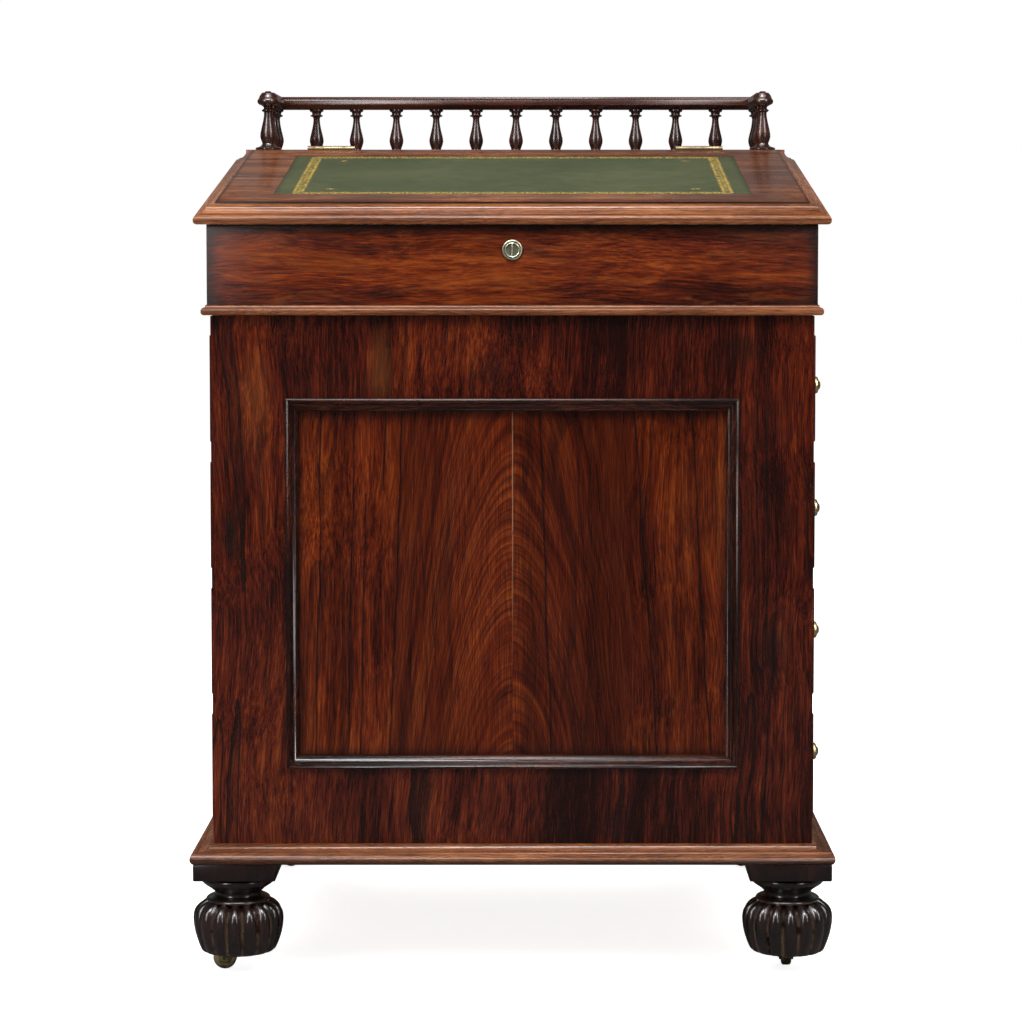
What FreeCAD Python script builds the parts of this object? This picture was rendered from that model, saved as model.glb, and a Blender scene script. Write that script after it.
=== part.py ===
"""Davenport desk: pedestal with four side drawers, sliding writing box, hinged lid and turned gallery.

Frame: origin on the floor at the middle of the plan, +X to the right of someone facing the desk's
front, +Y to the back, +Z up. Millimetres. Every driving size is a cell of the sheet "sizes"; all
other sizes and places are formulas of those cells.
"""
import FreeCAD, Part
import Sketcher
import math
import os

from FreeCAD import Placement, Rotation, Vector

doc = FreeCAD.newDocument("davenport_desk")
sheet = doc.addObject("Spreadsheet::Sheet", "sizes")
nodes = []


class Size:
    """A number together with the formula that ties it to the sheet."""

    def __init__(self, number, text):
        self.number = float(number)
        self.text = text

    def __add__(self, other):
        other = as_size(other)
        return Size(self.number + other.number, f"({self.text} + {other.text})")

    def __sub__(self, other):
        other = as_size(other)
        return Size(self.number - other.number, f"({self.text} - {other.text})")

    def __mul__(self, other):
        other = as_size(other)
        return Size(self.number * other.number, f"({self.text} * {other.text})")

    def __truediv__(self, other):
        other = as_size(other)
        return Size(self.number / other.number, f"({self.text} / {other.text})")

    def __radd__(self, other):
        return as_size(other) + self

    def __rsub__(self, other):
        return as_size(other) - self

    def __rmul__(self, other):
        return as_size(other) * self

    def __neg__(self):
        return Size(-self.number, f"(-1 * {self.text})")


def as_size(value):
    return value if isinstance(value, Size) else Size(value, f"({float(value)!r})")


def cosine(angle):
    return Size(math.cos(math.radians(angle.number)), f"cos({angle.text})")


def square(length):
    return length * length


def root(area):
    return Size(math.sqrt(area.number), f"sqrt({area.text})")


def tangent(angle):
    return Size(math.tan(math.radians(angle.number)), f"tan({angle.text})")


def size(alias, number, meaning):
    """Put one driving size into the next row of the sheet."""
    row = size.row
    size.row += 1
    sheet.set(f"A{row}", meaning)
    sheet.set(f"B{row}", repr(number))
    sheet.setAlias(f"B{row}", alias)
    return Size(number, f"sizes.{alias}")


size.row = 1

# ---------------------------------------------------------------- driving sizes
# pedestal
pedestal_width = size("pedestal_width", 612.0, "pedestal, outer width of the carcase")
pedestal_depth = size("pedestal_depth", 533.0, "pedestal, front face to back face")
frame_thickness = size("frame_thickness", 22.8, "front and back frames, thickness")
stile_width = size("stile_width", 83.2, "front and back frames, width of a stile")
bottom_rail_width = size("bottom_rail_width", 103.4, "front and back frames, height of the bottom rail")
top_rail_width = size("top_rail_width", 91.3, "front and back frames, height of the top rail")
panel_thickness = size("panel_thickness", 8.0, "front and back panels, thickness")
panel_recess = size("panel_recess", 8.0, "depth of a panel's face behind its frame's face")
panel_tongue = size("panel_tongue", 6.0, "how far a panel stands in its frame's groove")
panel_moulding_width = size("panel_moulding_width", 13.4, "moulding round a panel, width")
panel_moulding_lap = size("panel_moulding_lap", 8.0, "moulding round a panel, width on the frame")
panel_moulding_rise = size("panel_moulding_rise", 4.5, "moulding round a panel, height above the frame")
side_thickness = size("side_thickness", 16.0, "left side board, thickness")
floor_thickness = size("floor_thickness", 18.7, "bottom board, thickness")

# drawers
drawer_count = 4
drawer_opening = size("drawer_opening", 110.0, "height of a drawer opening")
drawer_rail = size("drawer_rail", 19.8, "height of a drawer rail")
drawer_rail_depth = size("drawer_rail_depth", 45.0, "depth of a drawer rail, along the drawers")
drawer_gap = size("drawer_gap", 0.4, "clearance round a drawer in its opening")
drawer_front_thickness = size("drawer_front_thickness", 20.0, "drawer front, thickness")
drawer_side_thickness = size("drawer_side_thickness", 9.0, "drawer side and back, thickness")
drawer_bottom_thickness = size("drawer_bottom_thickness", 6.0, "drawer bottom, thickness")
drawer_bottom_rise = size("drawer_bottom_rise", 6.0, "drawer bottom, height above the sides' lower edges")
drawer_back_drop = size("drawer_back_drop", 8.0, "drawer back, how much lower than the sides")
drawer_end_gap = size("drawer_end_gap", 12.0, "space between a drawer's back and the left side")
cock_bead_rise = size("cock_bead_rise", 3.7, "cock bead, height above the carcase side")
cock_bead_width = size("cock_bead_width", 3.2, "cock bead, width")
cock_bead_round = size("cock_bead_round", 1.1, "cock bead, bevel of its edges")
dummy_thickness = size("dummy_thickness", 6.0, "dummy drawer front, thickness in the side board")
runner_width = size("runner_width", 20.0, "drawer runner, width")
knob_inset = size("knob_inset", 119.0, "knob centre, distance from the front or back face of the pedestal")
knob_drop = size("knob_drop", 1.3, "knob centre, depth below the drawer's middle")
knob_reach = size("knob_reach", 15.0, "knob, length outside the drawer front")
knob_radius = size("knob_radius", 9.0, "knob, radius of the disc")

# base and feet
base_projection = size("base_projection", 22.2, "base moulding, projection from the carcase")
base_height = size("base_height", 18.2, "base moulding, height")
block_side = size("block_side", 84.0, "foot block, side of the square")
block_height = size("block_height", 17.2, "foot block, height")
block_inset = size("block_inset", 3.0, "foot block, inset from the base moulding's edge")
foot_lift = size("foot_lift", 19.7, "carved foot, height of its lower edge above the floor")
foot_height = size("foot_height", 79.6, "turned and carved foot, height")
lobe_count = 16
lobe_radius = size("lobe_radius", 46.8, "carved foot, radius over the lobes")
lobe_height = size("lobe_height", 54.0, "carved foot, height of the lobes")
lobe_depth = size("lobe_depth", 4.2, "carved foot, depth of the channels between lobes")
foot_collar_radius = size("foot_collar_radius", 33.0, "foot, radius of the turned ring over the lobes")
foot_neck_radius = size("foot_neck_radius", 25.5, "foot, radius of the neck")
foot_saucer_radius = size("foot_saucer_radius", 39.0, "foot, radius of the saucer under the block")
recess_radius = size("recess_radius", 29.0, "castor recess in the foot, radius")
recess_depth = size("recess_depth", 27.4, "castor recess in the foot, depth")

# castors
wheel_radius = size("wheel_radius", 12.0, "castor wheel, radius")
wheel_width = size("wheel_width", 10.0, "castor wheel, width")
castor_trail = size("castor_trail", 14.0, "castor, distance from pintle to axle")
axle_radius = size("axle_radius", 2.0, "castor axle, radius")
running_fit = size("running_fit", 0.06, "radial clearance of a turning fit")
fork_plate = size("fork_plate", 2.0, "castor fork, thickness of its metal")
castor_plate_radius = size("castor_plate_radius", 17.0, "castor plate, radius")
castor_plate_thickness = size("castor_plate_thickness", 2.0, "castor plate, thickness")
pintle_radius = size("pintle_radius", 3.5, "castor pintle, radius")
part_gap = size("part_gap", 0.3, "clearance between pieces that move past each other")

# writing box
box_side_lead = size("box_side_lead", 3.0, "writing box, distance of each side outside the pedestal")
box_lead = size("box_lead", 3.3, "writing box, distance of its front ahead of the pedestal")
box_lift = size("box_lift", 0.8, "gap between pedestal and writing box")
box_wall = size("box_wall", 14.0, "writing box, thickness of its sides and front")
box_floor_thickness = size("box_floor_thickness", 10.0, "writing box, thickness of its bottom board")
box_bead_height = size("box_bead_height", 10.4, "bead moulding round the writing box, height")
box_bead_projection = size("box_bead_projection", 5.7, "bead moulding round the writing box, projection")
box_height = size("box_height", 179.3, "writing box, height from its bead to the top of its shelf")
shelf_thickness = size("shelf_thickness", 14.0, "shelf, thickness")
slide_travel = size("slide_travel", 200.0, "writing box, travel of the slide")
bearer_width = size("bearer_width", 30.0, "slide bearer, width at the top")
bearer_undercut = size("bearer_undercut", 4.0, "slide bearer, undercut of each flank")
bearer_spread = size("bearer_spread", 200.0, "slide bearer, distance from the middle of the desk")
guide_width = size("guide_width", 18.0, "slide guide, width at the bottom")

# lid
slope = size("slope", 9.4, "lid, slope in degrees")
hinge_setback = size("hinge_setback", 396.7, "hinge line, distance behind the pedestal's front face")
lid_overhang = size("lid_overhang", 12.5, "lid, overhang past the box on the sides and the front")
lid_thickness = size("lid_thickness", 20.3, "lid, thickness")
lid_moulding = size("lid_moulding", 20.5, "lid, width of its moulded edge")
lid_nose = size("lid_nose", 9.6, "lid, thickness of its half-round nose")
leather_margin = size("leather_margin", 54.5, "lid, wood left round the leather")
leather_thickness = size("leather_thickness", 1.5, "leather, thickness")
leather_depth = size("leather_depth", 0.4, "leather, how far it lies below the wood")
knuckle_radius = size("knuckle_radius", 3.2, "lid hinge, radius of the knuckles")
hinge_length = size("hinge_length", 54.0, "lid hinge, length")
hinge_spread = size("hinge_spread", 211.0, "lid hinge, distance from the middle of the desk")
hinge_pin_radius = size("hinge_pin_radius", 1.4, "lid hinge, radius of the pin")
leaf_width = size("leaf_width", 10.0, "lid hinge, width of a leaf")
leaf_thickness = size("leaf_thickness", 1.6, "lid hinge, thickness of a leaf")
lid_gap = size("lid_gap", 1.0, "gap between lid and shelf")
knuckle_rise = size("knuckle_rise", 1.0, "lid hinge, height of the pin above the wood")

# gallery
post_inset = size("post_inset", 24.3, "gallery post, distance of its centre in from the side of the box")
post_setback = size("post_setback", 16.5, "gallery post, distance behind the hinge line")
rear_rail_inset = size("rear_rail_inset", 11.0, "gallery rear rail, centre line in front of the back")
rail_height = size("rail_height", 14.8, "gallery rail, height of its section")
rail_width = size("rail_width", 22.0, "gallery rail, width")
rail_clearance = size("rail_clearance", 51.2, "gallery rail, height of its underside above the shelf")
rear_balusters = 13
side_balusters = 2
baluster_belly = size("baluster_belly", 8.2, "baluster, radius of the belly")
baluster_neck = size("baluster_neck", 4.4, "baluster, radius of the neck")
post_height = size("post_height", 67.7, "gallery post, height with its finial")
post_base_radius = size("post_base_radius", 14.8, "gallery post, radius of the base")
post_button_radius = size("post_button_radius", 12.3, "gallery post, radius of the button")

# fittings of the box
lock_drop = size("lock_drop", 26.4, "lock boss, depth of its centre below the top edge of the front board")
lock_radius = size("lock_radius", 10.5, "lock boss, radius")
nest_depth = size("nest_depth", 118.0, "small drawers' case, depth")
nest_board = size("nest_board", 6.0, "small drawers' case, thickness of its boards")
nest_drawers = 3
nest_share = 0.53          # height of the small drawers' case, as a share of the well
nest_knob_radius = size("nest_knob_radius", 5.0, "small drawer knob, radius")

# ---------------------------------------------------------------- places worked out from the sizes
front_face = -pedestal_depth / 2
back_face = pedestal_depth / 2
half_width = pedestal_width / 2
foot_top = foot_lift + foot_height
carcase_bottom = foot_top + block_height
floor_top = carcase_bottom + floor_thickness
first_opening = floor_top + drawer_rail
drawer_pitch = drawer_opening + drawer_rail
carcase_top = first_opening + drawer_pitch * drawer_count
inner_front = front_face + frame_thickness
inner_back = back_face - frame_thickness
inner_left = side_thickness - half_width
foot_x = half_width + base_projection - block_inset - block_side / 2
foot_front = front_face - base_projection + block_inset + block_side / 2
foot_back = -foot_front

box_bottom = carcase_top + box_lift
box_front = front_face - box_lead
box_back = back_face
box_half = half_width + box_side_lead
box_width = box_half * 2
shelf_height = box_bottom + box_height
box_floor = box_bottom + box_bead_height
box_floor_top = box_floor + box_floor_thickness
hinge_y = front_face + hinge_setback
well_half = box_half - box_wall
well_front = box_front + box_wall
well_back = box_back - box_wall
hinge_z = shelf_height + knuckle_rise
shelf_under = shelf_height - shelf_thickness


def lid_rest(y):
    """Height of the box's sloping top edge at a given depth, just under the lid."""
    under_hinge = hinge_z - (knuckle_rise + lid_thickness) / cosine(slope)
    return under_hinge - (hinge_y - y) * tangent(slope) - part_gap


lock_height = lid_rest(box_front) - lock_drop
lid_length = (hinge_y - box_front + lid_overhang) / cosine(slope)
lid_half = box_half + lid_overhang
field_half = lid_half - lid_moulding
field_length = lid_length - lid_moulding
rail_under = shelf_height + rail_clearance
nest_top = box_floor_top + (shelf_under - box_floor_top) * nest_share
post_spread = box_half - post_inset
post_y = hinge_y + post_setback
rear_rail_y = back_face - rear_rail_inset


# ---------------------------------------------------------------- building helpers
def bind(thing, prop, value):
    thing.setExpression(prop, as_size(value).text)


def place(thing, x=None, y=None, z=None):
    for letter, value in (("x", x), ("y", y), ("z", z)):
        if value is not None:
            bind(thing, f"Placement.Base.{letter}", value)
    return thing


def board(name, x, y, z):
    """A squared board between pairs of limits."""
    box = doc.addObject("Part::Box", name)
    for prop, (low, high) in (("Length", x), ("Width", y), ("Height", z)):
        bind(box, prop, high - low)
    return place(box, x[0], y[0], z[0])


def rod(name, radius, length, axis, x, y, z):
    """A round rod from a point along one axis."""
    cylinder = doc.addObject("Part::Cylinder", name)
    bind(cylinder, "Radius", radius)
    bind(cylinder, "Height", length)
    cylinder.Placement.Rotation = Rotation(Vector(0, 0, 1), axis)
    return place(cylinder, x, y, z)


def cut(name, base, tool):
    result = doc.addObject("Part::Cut", name)
    result.Base = base
    result.Tool = tool
    return result


def group(name, things):
    """Separate solids that make one sub-part."""
    compound = doc.addObject("Part::Compound", name)
    compound.Links = things
    return compound


def fused(name, things):
    result = doc.addObject("Part::MultiFuse", name)
    result.Shapes = things
    return result


def mirrored(name, source, normal):
    """The same piece on the other side of the desk's middle."""
    result = doc.addObject("Part::Mirroring", name)
    result.Source = source
    result.Base = Vector(0, 0, 0)
    result.Normal = normal
    return result


def copy_of(name, source, x=None, y=None, z=None, turn=0):
    """The same piece again, placed elsewhere and turned about the vertical."""
    link = doc.addObject("App::Link", name)
    link.LinkedObject = source
    link.Placement = Placement(Vector(0, 0, 0), Rotation(Vector(0, 0, 1), turn))
    return place(link, x, y, z)


def node(label, thing):
    """Make a shape one of the desk's sub-parts."""
    thing.Label = label
    nodes.append(thing)
    return thing


def new_body(name):
    return doc.addObject("PartDesign::Body", name)


def plane_of(body, role):
    return [feature for feature in body.Origin.OriginFeatures if feature.Role == role][0]


def arc_radius(start, end, bow):
    """The radius of an arc between two corners that rises by a share of its chord."""
    chord = root(square(end[0] - start[0]) + square(end[1] - start[1]))
    share = abs(bow)
    return chord * (1 / (8 * share) + share / 2)


def arc_between(start, end, radius, bow):
    """An arc drawn counter-clockwise; it bulges to the right of the way from start to end if bow > 0."""
    dx, dy = end[0] - start[0], end[1] - start[1]
    chord = math.hypot(dx, dy)
    back = math.sqrt(radius * radius - chord * chord / 4) * (1 if bow > 0 else -1)
    centre = Vector((start[0] + end[0]) / 2 - back * dy / chord, (start[1] + end[1]) / 2 + back * dx / chord, 0)
    first, last = (start, end) if bow > 0 else (end, start)
    angles = [math.atan2(spot[1] - centre.y, spot[0] - centre.x) for spot in (first, last)]
    return Part.ArcOfCircle(Part.Circle(centre, Vector(0, 0, 1), radius), *angles)


def sketch_of(body, name, role, loops):
    """A sketch of closed loops. A corner is (u, v), or (u, v, bow) where an arc leads to it."""
    sketch = body.newObject("Sketcher::SketchObject", name)
    sketch.AttachmentSupport = [(plane_of(body, role), "")]
    sketch.MapMode = "FlatFace"
    for loop in loops:
        corners = [(as_size(corner[0]), as_size(corner[1])) for corner in loop]
        bows = [corner[2] if len(corner) == 3 else 0 for corner in loop]
        spots = [(u.number, v.number) for u, v in corners]
        first = sketch.GeometryCount
        total = len(corners)
        ends = []
        for index in range(total):
            start, end = spots[index], spots[(index + 1) % total]
            bow = bows[(index + 1) % total]
            if bow:
                radius = arc_radius(corners[index], corners[(index + 1) % total], bow)
                sketch.addGeometry(arc_between(start, end, radius.number, bow), False)
                ends.append((1, 2) if bow > 0 else (2, 1))
            else:
                sketch.addGeometry(Part.LineSegment(Vector(*start, 0), Vector(*end, 0)), False)
                ends.append((1, 2))
        for index in range(total):
            following = (index + 1) % total
            sketch.addConstraint(Sketcher.Constraint(
                "Coincident", first + index, ends[index][1], first + following, ends[following][0]))
        for index, corner in enumerate(corners):
            for kind, value in (("DistanceX", corner[0]), ("DistanceY", corner[1])):
                tie = sketch.addConstraint(Sketcher.Constraint(
                    kind, -1, 1, first + index, ends[index][0], value.number))
                sketch.setExpression(f"Constraints[{tie}]", value.text)
            if bows[index]:
                radius = arc_radius(corners[index - 1], corner, bows[index])
                tie = sketch.addConstraint(Sketcher.Constraint(
                    "Radius", first + (index - 1) % total, radius.number))
                sketch.setExpression(f"Constraints[{tie}]", radius.text)
    return sketch


def padded(name, role, loops, length):
    """A flat outline padded evenly to both sides of its plane."""
    body = new_body(name)
    sketch = sketch_of(body, f"{name}_outline", role, loops)
    pad = body.newObject("PartDesign::Pad", f"{name}_pad")
    pad.Profile = sketch
    pad.Midplane = True
    bind(pad, "Length", length)
    return body


def turned(name, corners):
    """A turned piece: half its outline, as radius and height, revolved about the vertical."""
    body = new_body(name)
    sketch = sketch_of(body, f"{name}_outline", "XZ_Plane", [corners])
    revolution = body.newObject("PartDesign::Revolution", f"{name}_turning")
    revolution.Profile = sketch
    revolution.ReferenceAxis = (sketch, ["V_Axis"])
    revolution.Angle = 360
    return body


def faceted(name, corners, sides):
    """A solid turned about Z, drawn with flat sides; each corner is (radius, height), upwards."""
    doc.recompute()
    wires = []
    for radius, height in corners:
        reach = as_size(radius).number / math.cos(math.pi / sides)
        spots = [Vector(reach * math.cos(2 * math.pi * (side + 0.5) / sides),
                        reach * math.sin(2 * math.pi * (side + 0.5) / sides), as_size(height).number)
                 for side in range(sides)]
        wires.append(Part.makePolygon(spots + spots[:1]))
    solid = doc.addObject("Part::Feature", name)
    solid.Shape = Part.makeLoft(wires, True, True)
    return solid


def mitre(side, outer_half, width, outer_edge, inward):
    """The waste beyond a 45 degree cut at one end (side -1 or 1) of a moulding."""
    spare = 2.0
    inner_half = outer_half - width
    inner_edge = outer_edge + width * inward
    far = outer_half + spare * 2
    return [((outer_half + spare) * side, outer_edge - spare * inward),
            ((inner_half - spare) * side, inner_edge + spare * inward),
            (far * side, inner_edge + spare * inward),
            (far * side, outer_edge - spare * inward)]


def moulding(name, profile, outer_half, width, role, outer_edge, inward, sides=(-1, 1)):
    """A straight moulding along X, its profile in Y and Z, cut at 45 degrees at the given ends."""
    body = padded(name, "YZ_Plane", [profile], outer_half * 2)
    loops = [mitre(side, outer_half, width, outer_edge, inward) for side in sides]
    sketch = sketch_of(body, f"{name}_mitres", role, loops)
    pocket = body.newObject("PartDesign::Pocket", f"{name}_cut")
    pocket.Profile = sketch
    pocket.Type = "ThroughAll"
    pocket.Midplane = True
    return body


def edges_where(feature, test):
    """Names of the edges whose ends all pass a test."""
    return [f"Edge{number}" for number, edge in enumerate(feature.Shape.Edges, 1)
            if all(test(vertex.Point) for vertex in edge.Vertexes)]


# ---------------------------------------------------------------- pedestal
def panel_moulding_profile():
    """Raised bead, hollow and small inner bead; Y 0 on the frame's face, Z 0 at the outer edge."""
    rise, lap, width = panel_moulding_rise, panel_moulding_lap, panel_moulding_width
    bead = width * 0.43
    return [(0, 0), (rise * -0.7, -0.4), (rise * -0.7, -bead, 0.26), (-1.5, -lap, -0.12), (1.2, -lap - 1.4),
            (4.5, -width, 0.25), (panel_recess, -width), (panel_recess, -lap), (0, -lap)]


def framed_panel(side):
    """Stiles, rails, panel and moulding of the front, on the face at the given Y."""
    left, right = stile_width - half_width, half_width - stile_width
    low, high = carcase_bottom + bottom_rail_width, carcase_top - top_rail_width
    inner, tongue = inner_front, panel_tongue
    panel_front = front_face + panel_recess
    panel = board(f"{side}_panel_board", (left - tongue, right + tongue),
                  (panel_front, panel_front + panel_thickness), (low - tongue, high + tongue))
    stiles = [board(f"{side}_stile_left", (-half_width, left), (front_face, inner), (carcase_bottom, carcase_top)),
              board(f"{side}_stile_right", (right, half_width), (front_face, inner), (carcase_bottom, carcase_top))]
    rails = [board(f"{side}_rail_low", (left, right), (front_face, inner), (carcase_bottom, low)),
             board(f"{side}_rail_high", (left, right), (front_face, inner), (high, carcase_top))]
    frame = cut(f"{side}_frame_grooved", group(f"{side}_frame_boards", stiles + rails), panel)
    lap, width = panel_moulding_lap, panel_moulding_width
    profile = panel_moulding_profile()
    half_across = right + lap
    half_up = (high - low) / 2 + lap
    middle = (high + low) / 2
    strips = []
    for strip, half, reach, turn in (("top", half_across, half_up, 0), ("right", half_up, half_across, 90),
                                     ("low", half_across, half_up, 180), ("left", half_up, half_across, 270)):
        strip_name = f"{side}_moulding_{strip}"
        piece = moulding(strip_name, profile, half, width, "XZ_Plane", as_size(0), -1)
        piece.Placement.Rotation = Rotation(Vector(0, 1, 0), turn)
        across = {"right": reach, "left": -reach}.get(strip, 0)
        up = {"top": middle + reach, "low": middle - reach}.get(strip, middle)
        strips.append(place(piece, across, front_face, up))
    return frame, panel, group(f"{side}_moulding_strips", strips)


def build_front_and_back():
    pieces = framed_panel("front")
    for label, piece in zip(("front_frame", "front_panel", "front_panel_moulding"), pieces):
        node(label, piece)
        back = mirrored(f"{label}_behind", piece, Vector(0, 1, 0))
        node(label.replace("front", "back", 1), back)


def cock_beaded(name, thickness, half_deep, half_high):
    """A drawer front facing +X, its outer face at X 0, with a cock bead standing round it."""
    body = new_body(name)
    outline = [(-half_deep, -half_high), (half_deep, -half_high), (half_deep, half_high), (-half_deep, half_high)]
    pad = body.newObject("PartDesign::Pad", f"{name}_pad")
    pad.Profile = sketch_of(body, f"{name}_outline", "YZ_Plane", [outline])
    bind(pad, "Length", cock_bead_rise)
    backing = body.newObject("PartDesign::Pad", f"{name}_backing")
    backing.Profile = sketch_of(body, f"{name}_back_outline", "YZ_Plane", [outline])
    bind(backing, "Length", thickness)
    backing.Reversed = True
    deep, high = half_deep - cock_bead_width, half_high - cock_bead_width
    field = body.newObject("PartDesign::Pocket", f"{name}_field")
    field.Profile = sketch_of(body, f"{name}_field_outline", "YZ_Plane",
                              [[(-deep, -high), (deep, -high), (deep, high), (-deep, high)]])
    field.Reversed = True
    bind(field, "Length", cock_bead_rise)
    doc.recompute()
    rim = edges_where(field, lambda point: point.x > cock_bead_rise.number - 0.01)
    easing = body.newObject("PartDesign::Chamfer", f"{name}_bead")
    easing.Base = (field, rim)
    bind(easing, "Size", cock_bead_round)
    body.Tip = easing
    return body


def opening_low(number):
    """Height of the lower edge of a drawer opening, counted from the top."""
    return first_opening + drawer_pitch * (drawer_count - number)


def build_carcase():
    inside = (inner_front, inner_back)
    side = board("side_board", (-half_width, inner_left), inside, (carcase_bottom, carcase_top))
    dummy = cock_beaded("dummy_front", dummy_thickness, inner_back, drawer_opening / 2)
    dummies, waste = [], []
    for number in range(1, drawer_count + 1):
        low = opening_low(number)
        dummies.append(copy_of(f"dummy_front_{number}", dummy, -half_width, 0, low + drawer_opening / 2, 180))
        waste.append(board(f"dummy_recess_{number}", (-half_width - 1, dummy_thickness - half_width),
                           inside, (low, low + drawer_opening)))
    node("left_side_board", cut("side_board_recessed", side, group("dummy_recesses", waste)))
    node("dummy_drawer_fronts", group("dummy_fronts", dummies))
    rail_back = half_width - drawer_rail_depth
    rails, runners = [], []
    for number in range(0, drawer_count + 1):
        top = opening_low(number)
        rails.append(board(f"drawer_rail_{number}", (rail_back, half_width), inside, (top - drawer_rail, top)))
        if number > 0:
            front_runner = board(f"runner_front_{number}", (inner_left, rail_back),
                                 (inner_front, inner_front + runner_width), (top - drawer_rail, top))
            runners.append(front_runner)
            runners.append(mirrored(f"runner_back_{number}", front_runner, Vector(0, 1, 0)))
    node("drawer_rails", group("rails", rails))
    node("drawer_runners", group("runners", runners))
    node("bottom_board", board("floor", (inner_left, half_width), inside, (carcase_bottom, floor_top)))
    node("top_board", board("ceiling", (inner_left, rail_back), inside, (carcase_top - drawer_rail, carcase_top)))


def build_base_moulding():
    """Torus nose, cavetto and fillet, in four lengths mitred at the corners."""
    out, high = base_projection, base_height
    nose = high - 5.8
    profile = [(0, 0), (-out + 3.5, 0), (-out, nose / 2, -0.15), (-out + 4.0, nose, -0.15), (-4.0, nose + 1.8, 0.12),
               (-4.0, high), (0, high)]
    lengths = []
    for side, half, reach, turn in (("front", half_width, -front_face, 0), ("right", back_face, half_width, 90),
                                    ("back", half_width, back_face, 180), ("left", back_face, half_width, 270)):
        piece = moulding(f"base_{side}", profile, half + out, out, "XY_Plane", -out, 1)
        piece.Placement.Rotation = Rotation(Vector(0, 0, 1), turn)
        across = {"right": reach, "left": -reach}.get(side, 0)
        along = {"front": -reach, "back": reach}.get(side, 0)
        lengths.append(place(piece, across, along, carcase_bottom))
    node("base_moulding", group("base_lengths", lengths))


def lobed_wire(radius, depth, height):
    """A closed line round all the lobes at one height: channel and two shoulders of each."""
    pitch = 2 * math.pi / lobe_count
    spots = []
    for lobe in range(lobe_count):
        for turn, drop in ((-0.5, depth), (-0.2, 0.0), (0.2, 0.0)):
            angle = (lobe + turn) * pitch
            reach = radius - drop
            spots.append(Vector(reach * math.cos(angle), reach * math.sin(angle), height))
    return Part.makePolygon(spots + spots[:1])


def build_foot():
    """Saucer, neck and ring turned above a bun carved into lobes, hollow below for the castor."""
    doc.recompute()
    lobe_top = foot_lift + lobe_height
    swell = [(0.0, 0.83), (0.2, 0.92), (0.6, 1.0), (0.84, 0.97), (0.95, 0.87), (1.0, 0.74)]
    wires = [lobed_wire(sheet.lobe_radius * wide, sheet.lobe_depth * wide, sheet.foot_lift + sheet.lobe_height * high)
             for high, wide in swell]
    lobes = doc.addObject("Part::Feature", "lobes")
    lobes.Shape = Part.makeLoft(wires, True, True)
    collar, neck, saucer = foot_collar_radius, foot_neck_radius, foot_saucer_radius
    turning = faceted("foot_turning", [
        (collar - 2.0, lobe_top), (collar, lobe_top + 3.2), (collar - 2.0, lobe_top + 6.4), (neck, lobe_top + 7.4),
        (neck, foot_top - 15.5), (neck + 2, foot_top - 15.3), (saucer - 4, foot_top - 9.5), (saucer, foot_top - 4.9),
        (saucer, foot_top)], 18)
    recess = rod("castor_recess", recess_radius, recess_depth + 1, Vector(0, 0, 1), 0, 0, foot_lift - 1)
    return cut("foot", fused("foot_solid", [lobes, turning]), recess)


CORNERS = {"front_left": (-1, -1), "front_right": (1, -1), "rear_left": (-1, 1), "rear_right": (1, 1)}
CASTOR_TURN = {"front_left": 180, "front_right": 90, "rear_left": -20, "rear_right": 200}


def build_feet():
    foot = build_foot()
    blocks = []
    for corner, (side, end) in CORNERS.items():
        x, y = foot_x * side, foot_back * end
        node(f"foot_{corner}", copy_of(f"foot_at_{corner}", foot, x, y, 0))
        blocks.append(board(f"block_{corner}", (x - block_side / 2, x + block_side / 2),
                            (y - block_side / 2, y + block_side / 2), (foot_top, carcase_bottom)))
    node("foot_blocks", group("blocks", blocks))


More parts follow.
